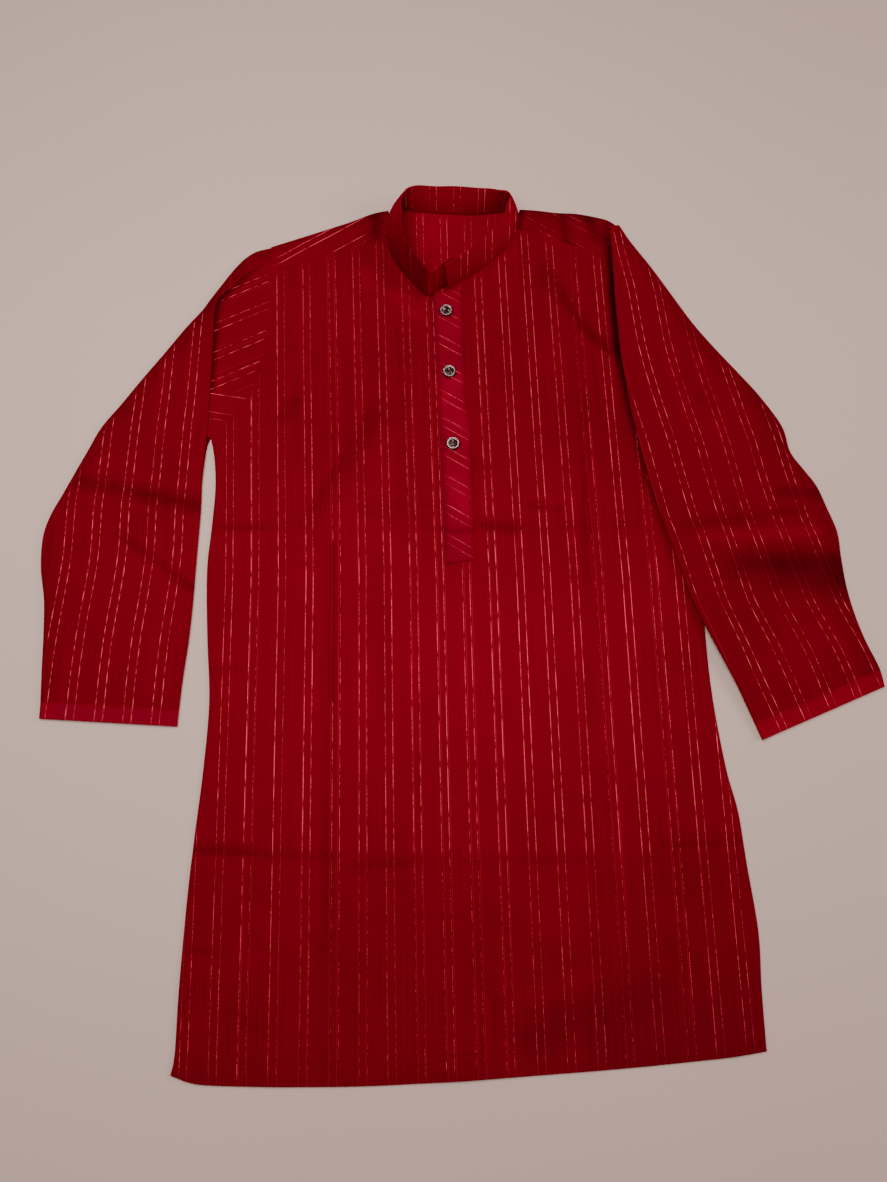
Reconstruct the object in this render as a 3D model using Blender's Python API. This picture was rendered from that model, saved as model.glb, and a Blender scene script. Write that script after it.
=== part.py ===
"""Long-sleeved kurta tunic laid flat, front up, on a level surface.

X runs across the chest, Y from the hem towards the collar, Z up. Metres.
The cloth is a thin wall on a middle surface. Panels are cut from an outline in the plane and
lifted to their layer. Sleeves and collar are strips through sections.
"""
import math
from collections import namedtuple

import bpy
from mathutils import Vector
from mathutils.geometry import delaunay_2d_cdt

# ---------------------------------------------------------------- driving dimensions
WALL = 0.0011              # one layer of cloth
COLLAR_WALL = 0.0016       # interfaced collar band
SEAM_GAP = 0.0003          # between two pieces sewn edge to edge
COLLAR_HEIGHT = 0.030      # of the band, along its lean

BACK_LAYER = WALL / 2      # heights of the middle of each layer
LINING_LAYER = 0.0021
FRONT_LAYER = 0.0035
FLAT_BY_SLEEVE = 0.012     # where the front's folds run out: before the sleeve on it,
FLAT_BY_NECK = 0.115       # round the neck's centre,
FLAT_BY_PLACKET = 0.024    # and each side of the placket
NECK_CENTRE_Y = 0.350
PLACKET_LOW_Y = 0.0155
SLEEVE_ON_FRONT = -0.150   # above this height a sleeve lies on the front
FRONT_EDGE_DROP = 0.0015   # how far the front sinks to the back along the side seams
FRONT_EDGE_WIDTH = 0.022
PLACKET_UNDER_LIFT = 0.0015
PLACKET_TOP_LIFT = 0.0030
SLEEVE_OVER_FRONT = 0.0053 # under layer of the sleeve that lies on the front
SLEEVE_LOFT = 0.0026       # upper layer above the lower one at a sleeve's edge
SLEEVE_CROWN = 0.0011      # and how much more in the middle
CUFF_LOFT = 0.0016         # upper above lower layer at the cuff's end
CUFF_FLAT = 0.045          # length over which a sleeve flattens towards its cuff
SLEEVE_OUTER_TOP = 0.0029  # middle of the upper layer at the left sleeve's outer edge
FOLD_ROUND = 0.0014        # width of cloth that rounds the left sleeve's fold edge
DROP_FROM = 0.008          # how far beyond the side seam the right sleeve starts to drop
DROP_TO = (0.040, 0.050)   # where its lower and upper layers reach the floor
ACROSS_TOP = (0.0, 0.08, 0.2, 0.35, 0.5, 0.65, 0.8, 0.92, 1.0)  # columns across a sleeve's top

BUTTON_DIAMETER = 0.0115
BUTTON_THICKNESS = 0.0026

PANEL_CELL = 0.024         # spacing of a panel's inner points
OUTLINE_STEP = 0.020       # and of its outline
EDGE_STEP = 0.015          # of the side edges and armholes

# ---------------------------------------------------------------- shape tables
Point = namedtuple("Point", "x y")
CollarRow = namedtuple("CollarRow", "foot_x foot_y foot_z top_x top_y")
LeftSleeveRow = namedtuple("LeftSleeveRow", "y_inner y_outer outer fold back edge_height lip_height")
RightSleeveRow = namedtuple("RightSleeveRow", "inner_x inner_y outer_x outer_y")
Fold = namedtuple("Fold", "x0 y0 x1 y1 width height")

# side edge of the body at the wearer's right, hem to underarm
LEFT_SIDE = [
    Point(-0.2345, -0.4060), Point(-0.2320, -0.3910), Point(-0.2320, -0.3410),
    Point(-0.2300, -0.2700), Point(-0.2270, -0.2170), Point(-0.2230, -0.1600),
    Point(-0.2215, -0.1000), Point(-0.2270, -0.0400), Point(-0.2310, 0.0200),
    Point(-0.2295, 0.0570), Point(-0.2280, 0.1000), Point(-0.2305, 0.1300),
    Point(-0.2350, 0.1520),
]
# side edge at the wearer's left, hem to underarm
RIGHT_SIDE = [
    Point(0.2545, -0.3880), Point(0.2545, -0.3400), Point(0.2555, -0.2950),
    Point(0.2500, -0.2400), Point(0.2460, -0.1970), Point(0.2390, -0.1640),
    Point(0.2330, -0.1200), Point(0.2295, -0.0800), Point(0.2280, -0.0300),
    Point(0.2285, 0.0300), Point(0.2300, 0.0900), Point(0.2320, 0.1520),
]
# hem from the wearer's right to the left
HEM = [
    Point(-0.2345, -0.4060), Point(-0.2180, -0.4115), Point(-0.1990, -0.4135),
    Point(-0.1430, -0.4145), Point(-0.0790, -0.4140), Point(-0.0110, -0.4110),
    Point(0.0360, -0.4080), Point(0.1340, -0.4010), Point(0.2140, -0.3935),
    Point(0.2545, -0.3880),
]
# armhole seams, underarm to shoulder
LEFT_ARMHOLE = [
    Point(-0.2350, 0.1520), Point(-0.2190, 0.1715), Point(-0.2010, 0.1960),
    Point(-0.1940, 0.2100), Point(-0.1885, 0.2380), Point(-0.1835, 0.2700),
    Point(-0.1840, 0.3000), Point(-0.1850, 0.3310),
]
RIGHT_ARMHOLE = [
    Point(0.2320, 0.1520), Point(0.2070, 0.1770), Point(0.1900, 0.1980),
    Point(0.1800, 0.2200), Point(0.1730, 0.2600), Point(0.1690, 0.3000),
    Point(0.1670, 0.3440),
]
# above the underarm the sleeve that lies on the front drops to the floor beyond this line
DROP_LINE = [
    Point(0.2320, 0.1520), Point(0.2310, 0.1750), Point(0.2200, 0.2000),
    Point(0.2050, 0.2350), Point(0.1930, 0.2700), Point(0.1850, 0.3100),
    Point(0.1780, 0.3440), Point(0.1740, 0.3850),
]
# front seams of the yoke, from the armhole to the neck
LEFT_YOKE_SEAM = [Point(-0.1850, 0.3310), Point(-0.1300, 0.3500), Point(-0.0720, 0.3710)]
RIGHT_YOKE_SEAM = [Point(0.1670, 0.3440), Point(0.1250, 0.3600), Point(0.0690, 0.3800)]
# fold of the yoke over the shoulders, from side to side
SHOULDER_FOLD = [
    Point(-0.1930, 0.3590), Point(-0.1580, 0.3715), Point(-0.1100, 0.3890),
    Point(-0.0700, 0.4035), Point(0.0, 0.4060), Point(0.0700, 0.4050),
    Point(0.1070, 0.4010), Point(0.1260, 0.4000), Point(0.1560, 0.3930),
    Point(0.1650, 0.3860),
]
YOKE_BACK_SEAM_Y = 0.3200
YOKE_NECK = (-0.0705, 0.0700) # where the shoulder folds end, beside the collar
LINING_LOW_Y = 0.3050
LINING_HALF = (-0.100, 0.100)

# collar band from its upper (left) end at the centre front, round the neck, to its under end
COLLAR = [
    CollarRow(-0.0068, 0.3133, 0.0031, -0.0100, 0.3215), CollarRow(0.0060, 0.3220, 0.0031, 0.0010, 0.3290),
    CollarRow(0.0250, 0.3340, 0.0031, 0.0175, 0.3420), CollarRow(0.0480, 0.3550, 0.0031, 0.0370, 0.3630),
    CollarRow(0.0600, 0.3700, 0.0031, 0.0470, 0.3765), CollarRow(0.0650, 0.3850, 0.0031, 0.0520, 0.3890),
    CollarRow(0.0655, 0.3970, 0.0031, 0.0560, 0.3990), CollarRow(0.0585, 0.4030, 0.0016, 0.0515, 0.4055),
    CollarRow(0.0420, 0.4010, 0.0006, 0.0400, 0.4080), CollarRow(0.0200, 0.3990, 0.0006, 0.0200, 0.4110),
    CollarRow(-0.0100, 0.4000, 0.0006, -0.0100, 0.4135), CollarRow(-0.0380, 0.4025, 0.0006, -0.0340, 0.4140),
    CollarRow(-0.0560, 0.4055, 0.0016, -0.0470, 0.4090), CollarRow(-0.0655, 0.4010, 0.0031, -0.0530, 0.4000),
    CollarRow(-0.0690, 0.3830, 0.0031, -0.0530, 0.3830), CollarRow(-0.0680, 0.3660, 0.0031, -0.0525, 0.3680),
    CollarRow(-0.0620, 0.3470, 0.0031, -0.0500, 0.3520), CollarRow(-0.0520, 0.3320, 0.0031, -0.0430, 0.3400),
    CollarRow(-0.0400, 0.3170, 0.0031, -0.0335, 0.3260), CollarRow(-0.0290, 0.3060, 0.0031, -0.0245, 0.3150),
    CollarRow(-0.0238, 0.3060, 0.0031, -0.0215, 0.3145), CollarRow(-0.0180, 0.3130, 0.0031, -0.0170, 0.3200),
    CollarRow(-0.0085, 0.3170, 0.0031, -0.0115, 0.3240), CollarRow(0.0030, 0.3245, 0.0031, -0.0010, 0.3315),
]

# placket strips, bottom to top
PLACKET_LEFT = [
    Point(-0.0090, 0.0256), Point(-0.0105, 0.0990), Point(-0.0140, 0.1690),
    Point(-0.0180, 0.2470), Point(-0.0207, 0.3060),
]
PLACKET_RIGHT = [
    Point(0.0175, 0.0311), Point(0.0160, 0.0880), Point(0.0140, 0.1580),
    Point(0.0095, 0.2000), Point(0.0070, 0.3125),
]
UNDER_STRIP_TOP = 0.3010
BUTTONS = [Point(-0.0085, 0.2861), Point(-0.0055, 0.2201), Point(-0.0020, 0.1448)]

# sleeve at the wearer's right, cuff to shoulder: the outer edge, the inner (fold) edge and
# the back seam are x, edge_height is the middle of the cloth at the fold edge, and lip_height
# is where the cloth turned under that edge ends
LEFT_SLEEVE = [
    LeftSleeveRow(-0.1230, -0.1160, -0.3730, -0.2480, -0.2480, 0.0022, 0.0018),
    LeftSleeveRow(-0.1080, -0.1010, -0.3733, -0.2475, -0.2475, 0.0024, 0.0018),
    LeftSleeveRow(-0.0800, -0.0730, -0.3750, -0.2460, -0.2460, 0.0030, 0.0018),
    LeftSleeveRow(-0.0440, -0.0380, -0.3770, -0.2430, -0.2430, 0.0033, 0.0018),
    LeftSleeveRow(-0.0100, -0.0060, -0.3800, -0.2415, -0.2415, 0.0033, 0.0018),
    LeftSleeveRow(0.0200, 0.0240, -0.3860, -0.2410, -0.2410, 0.0033, 0.0018),
    LeftSleeveRow(0.0480, 0.0540, -0.3870, -0.2405, -0.2405, 0.0033, 0.0018),
    LeftSleeveRow(0.0700, 0.0750, -0.3820, -0.2400, -0.2400, 0.0034, 0.0018),
    LeftSleeveRow(0.0880, 0.0950, -0.3730, -0.2400, -0.2400, 0.0036, 0.0018),
    LeftSleeveRow(0.1060, 0.1200, -0.3620, -0.2405, -0.2405, 0.0043, 0.0018),
    LeftSleeveRow(0.1280, 0.1400, -0.3530, -0.2395, -0.2395, 0.0052, 0.0028),
    LeftSleeveRow(0.1520, 0.1640, -0.3420, -0.2385, -0.2360, 0.0060, 0.0048),
    LeftSleeveRow(0.1730, 0.1880, -0.3250, -0.2380, -0.2184, 0.0062, 0.0050),
    LeftSleeveRow(0.2000, 0.2130, -0.3080, -0.2380, -0.1996, 0.0063, 0.0051),
    LeftSleeveRow(0.2330, 0.2440, -0.2860, -0.2380, -0.1900, 0.0063, 0.0051),
    LeftSleeveRow(0.2620, 0.2700, -0.2680, -0.2385, -0.1852, 0.0062, 0.0050),
    LeftSleeveRow(0.2840, 0.2900, -0.2525, -0.2390, -0.1842, 0.0061, 0.0049),
    LeftSleeveRow(0.2950, 0.3000, -0.2465, -0.2375, -0.1843, 0.0061, 0.0049),
    LeftSleeveRow(0.3040, 0.3095, -0.2405, -0.2340, -0.1845, 0.0046, 0.0034),
    LeftSleeveRow(0.3130, 0.3200, -0.2338, -0.2262, -0.1849, 0.0036, 0.0035),
    LeftSleeveRow(0.3250, 0.3340, -0.2245, -0.2170, -0.1853, 0.0035, 0.0035),
    LeftSleeveRow(0.3330, 0.3470, -0.2140, -0.2065, -0.1856, 0.0035, 0.0035),
    LeftSleeveRow(0.3400, 0.3562, -0.2020, -0.1960, -0.1862, 0.0035, 0.0035),
    LeftSleeveRow(0.3450, 0.3608, -0.1860, -0.1860, -0.1862, 0.0035, 0.0035),
]
HEAD_START = 13            # first row that reaches the armhole seam, above the gusset
TUCK_END = 19              # row where the tuck has run out
HEAD_UNDERLAP = 0.0036     # how far the sleeve head runs on under the tuck
HEAD_SHORT = 0.0004        # how far it stops short of the fold once the fold lies low
HEAD_FREE_TOP = 0.3300     # above this the head follows the yoke
HEAD_LEAN = 0.06           # and leans away from it by this much of its height
UNDER_BODY = 11            # first row whose underside runs on under the fold edge

# the gusset's corners, and its run under the tuck
GUSSET = [
    Point(-0.2470, 0.1560), Point(-0.2356, 0.1540), Point(-0.2195, 0.1730),
    Point(-0.2016, 0.1965), Point(-0.2250, 0.1985), Point(-0.2470, 0.1985),
]

# sleeve at the wearer's left, cuff to shoulder tip
RIGHT_SLEEVE = [
    RightSleeveRow(0.2720, -0.1350, 0.3870, -0.0870), RightSleeveRow(0.2645, -0.1160, 0.3840, -0.0700),
    RightSleeveRow(0.2530, -0.0880, 0.3740, -0.0450), RightSleeveRow(0.2410, -0.0630, 0.3665, -0.0190),
    RightSleeveRow(0.2280, -0.0350, 0.3620, 0.0060), RightSleeveRow(0.2145, -0.0020, 0.3600, 0.0330),
    RightSleeveRow(0.2060, 0.0280, 0.3590, 0.0580), RightSleeveRow(0.1985, 0.0530, 0.3520, 0.0810),
    RightSleeveRow(0.1910, 0.0780, 0.3440, 0.1040), RightSleeveRow(0.1850, 0.1020, 0.3330, 0.1210),
    RightSleeveRow(0.1790, 0.1280, 0.3220, 0.1390), RightSleeveRow(0.1740, 0.1560, 0.3165, 0.1650),
    RightSleeveRow(0.1690, 0.1830, 0.2980, 0.1960), RightSleeveRow(0.1660, 0.2090, 0.2790, 0.2210),
    RightSleeveRow(0.1625, 0.2400, 0.2560, 0.2500), RightSleeveRow(0.1610, 0.2680, 0.2370, 0.2760),
    RightSleeveRow(0.1595, 0.3000, 0.2170, 0.3070), RightSleeveRow(0.1590, 0.3300, 0.1980, 0.3360),
    RightSleeveRow(0.1585, 0.3600, 0.1790, 0.3640), RightSleeveRow(0.1570, 0.3820, 0.1685, 0.3830),
]
UNDERARM_SEAM = 0.030      # of the right sleeve, on its underside, in from the inner edge

# creases and soft folds of the upper layers, as ridges (+) and troughs (-)
FOLDS = [
    Fold(-0.224, 0.064, -0.137, 0.064, 0.012, -0.0007),    # pressed across the chest
    Fold(-0.090, 0.076, -0.030, 0.071, 0.012, -0.0006),
    Fold(0.030, 0.064, 0.170, 0.064, 0.012, -0.0006),
    Fold(-0.225, -0.228, -0.110, -0.236, 0.012, -0.0009),  # pressed across the skirt
    Fold(-0.085, -0.242, 0.110, -0.237, 0.012, -0.0007),
    Fold(0.180, -0.226, 0.242, -0.222, 0.012, -0.0007),
    Fold(-0.117, 0.050, -0.108, -0.395, 0.014, -0.0007),   # pressed lengthwise
    Fold(0.121, 0.100, 0.118, -0.390, 0.014, -0.0006),
    Fold(-0.075, 0.175, -0.135, 0.075, 0.018, -0.0008),    # drawn from the placket
    Fold(-0.150, 0.240, -0.170, 0.130, 0.045, 0.0008),
    Fold(0.090, 0.325, 0.150, 0.250, 0.016, -0.0008),      # drawn from the shoulder
    Fold(0.060, 0.270, 0.110, 0.180, 0.045, 0.0008),
    Fold(-0.190, -0.330, -0.150, -0.390, 0.035, 0.0010),   # waves of the skirt
    Fold(-0.030, -0.300, 0.010, -0.400, 0.050, 0.0009),
    Fold(0.060, -0.380, 0.160, -0.350, 0.030, -0.0008),
    Fold(0.200, -0.300, 0.225, -0.380, 0.035, 0.0010),
    Fold(-0.357, 0.108, -0.244, 0.086, 0.012, -0.0010),    # left sleeve
    Fold(-0.310, 0.054, -0.246, 0.008, 0.012, -0.0007),
    Fold(-0.320, -0.020, -0.300, -0.090, 0.040, 0.0008),
    Fold(0.214, 0.055, 0.345, 0.092, 0.012, 0.0014),       # right sleeve
    Fold(0.270, 0.030, 0.352, 0.032, 0.016, -0.0010),
    Fold(0.300, -0.030, 0.330, -0.070, 0.040, 0.0008),
]

CLOTH_RED = (0.19, 0.004, 0.010, 1.0)
PLACKET_RED = (0.26, 0.006, 0.020, 1.0)
BUTTON_GREY = (0.60, 0.56, 0.54, 1.0)


# ---------------------------------------------------------------- curves and fields
def smooth_curve(points, step):
    """Points every step or less along a smooth curve through the given ones."""
    p = [Vector(q) for q in points]
    p = [2 * p[0] - p[1]] + p + [2 * p[-1] - p[-2]]
    out = []
    for a, b, c, d in zip(p, p[1:], p[2:], p[3:]):
        pieces = max(1, math.ceil((c - b).length / step))
        for k in range(pieces):
            t = k / pieces
            out.append(0.5 * (2 * b + (c - a) * t + (2 * a - 5 * b + 4 * c - d) * t * t
                              + (3 * b - a - 3 * c + d) * t ** 3))
    return out + [p[-2]]


def ease(t):
    """0 to 1 with level ends."""
    t = min(max(t, 0.0), 1.0)
    return t * t * (3 - 2 * t)


def x_at(curve, y):
    """x of a curve, which runs up in y, at the height y."""
    for a, b in zip(curve, curve[1:]):
        if a[1] <= y <= b[1]:
            return a[0] + (b[0] - a[0]) * (y - a[1]) / (b[1] - a[1] + 1e-12)
    return curve[0][0] if y < curve[0][1] else curve[-1][0]


def y_at(curve, x):
    """y of a curve, which runs along +X, at x."""
    for a, b in zip(curve, curve[1:]):
        if a[0] <= x <= b[0]:
            return a[1] + (b[1] - a[1]) * (x - a[0]) / (b[0] - a[0] + 1e-12)
    return curve[0][1] if x < curve[0][0] else curve[-1][1]


LEFT_EDGE = smooth_curve(LEFT_SIDE, EDGE_STEP) + smooth_curve(LEFT_ARMHOLE, EDGE_STEP)[1:]
RIGHT_EDGE = smooth_curve(RIGHT_SIDE, EDGE_STEP) + smooth_curve(RIGHT_ARMHOLE, EDGE_STEP)[1:]
DROP_EDGE = smooth_curve(RIGHT_SIDE, EDGE_STEP) + smooth_curve(DROP_LINE, EDGE_STEP)[1:]
HEM_EDGE = smooth_curve(HEM, OUTLINE_STEP)
SLEEVE_INNER = smooth_curve([Point(r.inner_x, r.inner_y) for r in RIGHT_SLEEVE], 0.01)


def fold_relief(x, y):
    """Sum of the folds at a place: a soft bump across each line, running out at its ends."""
    total = 0.0
    for f in FOLDS:
        dx, dy = f.x1 - f.x0, f.y1 - f.y0
        length = math.hypot(dx, dy)
        along = ((x - f.x0) * dx + (y - f.y0) * dy) / length
        across = abs((x - f.x0) * dy - (y - f.y0) * dx) / length
        if across < f.width and -f.width < along < length + f.width:
            past = max(-along, along - length, 0.0) / f.width
            total += f.height * ease(1 - across / f.width) * ease(1 - past)
    return total


def front_height(x, y):
    """Middle of the front's cloth: level, sunk at the side edges, flat under the sleeve."""
    to_side = min(x - x_at(LEFT_EDGE, y), x_at(RIGHT_EDGE, y) - x)
    to_hem = y - y_at(HEM_EDGE, x)
    sink = FRONT_EDGE_DROP * max(ease(1 - to_side / FRONT_EDGE_WIDTH) * ease((0.16 - y) / 0.02),
                                 ease(1 - to_hem / FRONT_EDGE_WIDTH))
    free = ease((x_at(SLEEVE_INNER, y) - FLAT_BY_SLEEVE - x) / 0.03) if y > SLEEVE_ON_FRONT else 1.0
    neck_flat = ease((math.hypot(x, y - NECK_CENTRE_Y) - FLAT_BY_NECK) / 0.03)
    under_placket = ease((abs(x) - FLAT_BY_PLACKET) / 0.02) if y > PLACKET_LOW_Y else 1.0
    height = FRONT_LAYER - sink + fold_relief(x, y) * free * neck_flat * under_placket
    return max(height, WALL + SEAM_GAP + WALL / 2)


# ---------------------------------------------------------------- making cloth
def material(name, colour, metallic=0.0, roughness=0.75):
    mat = bpy.data.materials.new(name)
    mat.use_nodes = True
    shader = mat.node_tree.nodes["Principled BSDF"]
    shader.inputs["Base Color"].default_value = colour
    shader.inputs["Metallic"].default_value = metallic
    shader.inputs["Roughness"].default_value = roughness
    return mat


def cloth_object(name, verts, faces, wall, colour=CLOTH_RED):
    """A wall of cloth on both sides of a middle surface."""
    mesh = bpy.data.meshes.new(name)
    mesh.from_pydata(verts, [], faces)
    mesh.shade_smooth()
    ob = bpy.data.objects.new(name, mesh)
    bpy.context.collection.objects.link(ob)
    mesh.materials.append(material(name + "_cloth", colour))
    thick = ob.modifiers.new("wall", "SOLIDIFY")
    thick.thickness = wall
    thick.offset = 0.0
    return ob


def inside(outline, x, y):
    odd = False
    for (ax, ay), (bx, by) in zip(outline, outline[1:] + outline[:1]):
        if (ay > y) != (by > y) and x < (bx - ax) * (y - ay) / (by - ay) + ax:
            odd = not odd
    return odd


def clearance(lines, x, y):
    """Distance from a point to the nearest of some lines."""
    best = 1.0
    for (ax, ay), (bx, by) in lines:
        dx, dy = bx - ax, by - ay
        t = ((x - ax) * dx + (y - ay) * dy) / (dx * dx + dy * dy + 1e-18)
        t = min(max(t, 0.0), 1.0)
        best = min(best, math.hypot(ax + dx * t - x, ay + dy * t - y))
    return best


def panel(name, outline, place, cell=PANEL_CELL, creases=(), wall=WALL, colour=CLOTH_RED):
    """Cloth cut to an outline: place lifts each point of the pattern to where it lies."""
    outline = [(float(p[0]), float(p[1])) for p in outline]
    verts = list(outline)
    edges = [(k, (k + 1) % len(outline)) for k in range(len(outline))]
    for line in creases:
        first = len(verts)
        verts += [(float(p[0]), float(p[1])) for p in line]
        edges += [(k, k + 1) for k in range(first, len(verts) - 1)]
    lines = [(verts[a], verts[b]) for a, b in edges]
    xs = [p[0] for p in outline]
    ys = [p[1] for p in outline]
    rows = int((max(ys) - min(ys)) / (cell * 0.87)) + 1
    for j in range(rows + 1):
        y = min(ys) + j * cell * 0.87
        for i in range(int((max(xs) - min(xs)) / cell) + 2):
            x = min(xs) + (i - 0.5 * (j % 2)) * cell
            if inside(outline, x, y) and clearance(lines, x, y) > 0.45 * cell:
                verts.append((x, y))
    cut = delaunay_2d_cdt([Vector(v) for v in verts], edges, [], 1, 1e-7)
    return cloth_object(name, [place(p[0], p[1]) for p in cut[0]], cut[2], wall, colour)


def join(*runs):
    """One closed outline from runs that end where the next begins."""
    out = []
    for run in runs:
        for p in run:
            p = (float(p[0]), float(p[1]))
            if not out or math.dist(out[-1], p) > 1e-4:
                out.append(p)
    if math.dist(out[0], out[-1]) < 1e-4:
        out.pop()
    return out


def offset(curve, distance):
    """A plane curve moved to its left (+) or right (-)."""
    out = []
    for k, p in enumerate(curve):
        a, b = curve[max(k - 1, 0)], curve[min(k + 1, len(curve) - 1)]
        d = Vector((b[0] - a[0], b[1] - a[1])).normalized()
        out.append(Vector((p[0] - d.y * distance, p[1] + d.x * distance)))
    return out


# ---------------------------------------------------------------- collar and neck
NECK_CLEAR = COLLAR_WALL / 2 + SEAM_GAP + 0.0004


def collar():
    rows = []
    spans = 2
    feet = smooth_by_count([Point(r.foot_x, r.foot_y) for r in COLLAR], spans)
    tops = smooth_by_count([Point(r.top_x, r.top_y) for r in COLLAR], spans)
    lows = smooth_by_count([(r.foot_z, 0.0) for r in COLLAR], spans)
    for foot, top, low in zip(feet, tops, [p.x for p in lows]):
        lean = (top - foot).length
        height = math.sqrt(max(COLLAR_HEIGHT ** 2 - lean ** 2, 0.0001))
        row = []
        for t in (0.0, 0.25, 0.5, 0.75, 1.0):
            bow = math.sin(math.pi * t) * 0.0006
            at = foot.lerp(top, t * t * 0.35 + t * 0.65)
            out = (foot - top).normalized() * bow if lean > 0.0005 else Vector((0, 0))
            row.append((at.x + out.x, at.y + out.y, low + height * t))
        rows.append(row)
    return strip("collar", rows, COLLAR_WALL)


def smooth_by_count(points, spans):
    """As smooth_curve, with the same number of points in each span."""
    p = [Vector(q) for q in points]
    p = [2 * p[0] - p[1]] + p + [2 * p[-1] - p[-2]]
    out = []
    for a, b, c, d in zip(p, p[1:], p[2:], p[3:]):
        for k in range(spans):
            t = k / spans
            out.append(0.5 * (2 * b + (c - a) * t + (2 * a - 5 * b + 4 * c - d) * t * t
                              + (3 * b - a - 3 * c + d) * t ** 3))
    return out + [p[-2]]


def strip(name, rows, wall=WALL, colour=CLOTH_RED):
    """Cloth through rows of points, all of the same length."""
    width = len(rows[0])
    verts = [p for row in rows for p in row]
    faces = []
    for j in range(len(rows) - 1):
        for i in range(width - 1):
            a = j * width + i
            faces.append((a, a + 1, a + 1 + width, a + width))
    return cloth_object(name, verts, faces, wall, colour)


def neckline():
    """Front neckline, outside the collar's foot, from the left yoke seam to the right one."""
    feet = offset(smooth_by_count([Point(r.foot_x, r.foot_y) for r in COLLAR], 3), -NECK_CLEAR)
    right = [p for p in feet[:16] if p.y < 0.3790]
    left = [p for p in feet[40:60] if p.y < 0.3705 and p.x < -0.0285]
    return left + [Vector((-0.0240, 0.3035)), Vector((-0.0130, 0.3085))] + right


# ---------------------------------------------------------------- pieces
def front_panel():
    outline = join(HEM_EDGE, RIGHT_EDGE,
                   smooth_curve(RIGHT_YOKE_SEAM, OUTLINE_STEP), neckline()[::-1],
                   smooth_curve(LEFT_YOKE_SEAM, OUTLINE_STEP)[::-1], LEFT_EDGE[::-1])
    return panel("front_panel", outline, lambda x, y: (x, y, front_height(x, y)))


def back_panel():
    seam_y = YOKE_BACK_SEAM_Y - SEAM_GAP
    left = [p for p in LEFT_EDGE if p[1] < seam_y - 0.002] + [Vector((x_at(LEFT_EDGE, seam_y), seam_y))]
    right = [p for p in RIGHT_EDGE if p[1] < seam_y - 0.002] + [Vector((x_at(RIGHT_EDGE, seam_y), seam_y))]
    outline = join(HEM_EDGE, right, left[::-1])
    return panel("back_panel", outline, lambda x, y: (x, y, BACK_LAYER), cell=0.06)


def yoke():
    """Cut flat with t across the shoulder fold (front +), then folded over the shoulders."""
    fold = smooth_curve(SHOULDER_FOLD, 0.012)
    radius = (FRONT_LAYER - BACK_LAYER) / 2
    half_turn = math.pi * radius

    def place(x, t):
        top = y_at(fold, x) - radius - WALL / 2
        if t > half_turn / 2:
            return x, top - (t - half_turn / 2), FRONT_LAYER
        if t < -half_turn / 2:
            return x, top + (t + half_turn / 2), BACK_LAYER
        angle = t / radius
        return x, top + radius * math.cos(angle), BACK_LAYER + radius * (1 + math.sin(angle))

    def front_t(x, y):
        return y_at(fold, x) - radius - WALL / 2 - y + half_turn / 2

    def back_t(x, y):
        return -front_t(x, y)

    feet = offset(smooth_by_count([Point(r.foot_x, r.foot_y) for r in COLLAR], 3), -NECK_CLEAR)
    inner = offset(smooth_by_count([Point(r.foot_x, r.foot_y) for r in COLLAR], 3), NECK_CLEAR)
    seam_left = [Vector((p.x, p.y + SEAM_GAP)) for p in smooth_curve(LEFT_YOKE_SEAM, 0.012)]
    seam_right = [Vector((p.x, p.y + SEAM_GAP)) for p in smooth_curve(RIGHT_YOKE_SEAM, 0.012)]
    neck_left = [p for p in feet[38:50] if 0.3725 < p.y < 0.3945][::-1]
    neck_right = [p for p in feet[9:21] if 0.3815 < p.y < 0.3960]
    neck_back = [p for p in inner if p.y > 0.39 and -0.0550 < p.x < 0.0560]
    outline = []
    outline += [(p.x, front_t(*p)) for p in seam_left]
    outline += [(p.x, front_t(*p)) for p in neck_left]
    outline += [(YOKE_NECK[0], 0.0), (YOKE_NECK[0], -half_turn / 2)]
    outline += [(p.x, back_t(*p)) for p in sorted(neck_back, key=lambda q: q.x)]
    outline += [(YOKE_NECK[1], -half_turn / 2), (YOKE_NECK[1], 0.0)]
    outline += [(p.x, front_t(*p)) for p in neck_right[::-1]]
    outline += [(p.x, front_t(*p)) for p in seam_right[::-1]]
    ends = (x_at(RIGHT_EDGE, 0.34), x_at(LEFT_EDGE, 0.33))
    for t in (half_turn / 2, 0.0, -half_turn / 2):
        outline.append((ends[0] - 0.001, t))
    outline += [(ends[0], back_t(ends[0], YOKE_BACK_SEAM_Y)), (ends[1], back_t(ends[1], YOKE_BACK_SEAM_Y))]
    for t in (-half_turn / 2, 0.0, half_turn / 2):
        outline.append((ends[1], t))
    creases = []
    for t in (-0.5, -0.25, 0.25, 0.5):
        for a, b in ((ends[1] + 0.0006, YOKE_NECK[0] - 0.0010), (YOKE_NECK[1] + 0.0010, ends[0] - 0.0016)):
            count = 9
            creases.append([(a + (b - a) * k / count, t * half_turn) for k in range(count + 1)])
    return panel("yoke", outline, place, cell=0.020, creases=creases)


def yoke_lining():
    inner = offset(smooth_by_count([Point(r.foot_x, r.foot_y) for r in COLLAR], 3), NECK_CLEAR)
    top = sorted([p for p in inner if p.y > 0.39 and -0.055 < p.x < 0.056], key=lambda q: q.x)
    left, right = LINING_HALF
    outline = [(left, LINING_LOW_Y), (0.0, LINING_LOW_Y), (right, LINING_LOW_Y), (right, 0.3860)]
    outline += [(0.0640, 0.3910)]
    outline += [(p.x, p.y - 0.0006) for p in top[::-1]]
    outline += [(-0.0640, 0.3930), (left, 0.3820)]
    return panel("yoke_lining", outline, lambda x, y: (x, y, LINING_LAYER), cell=0.03)


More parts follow.
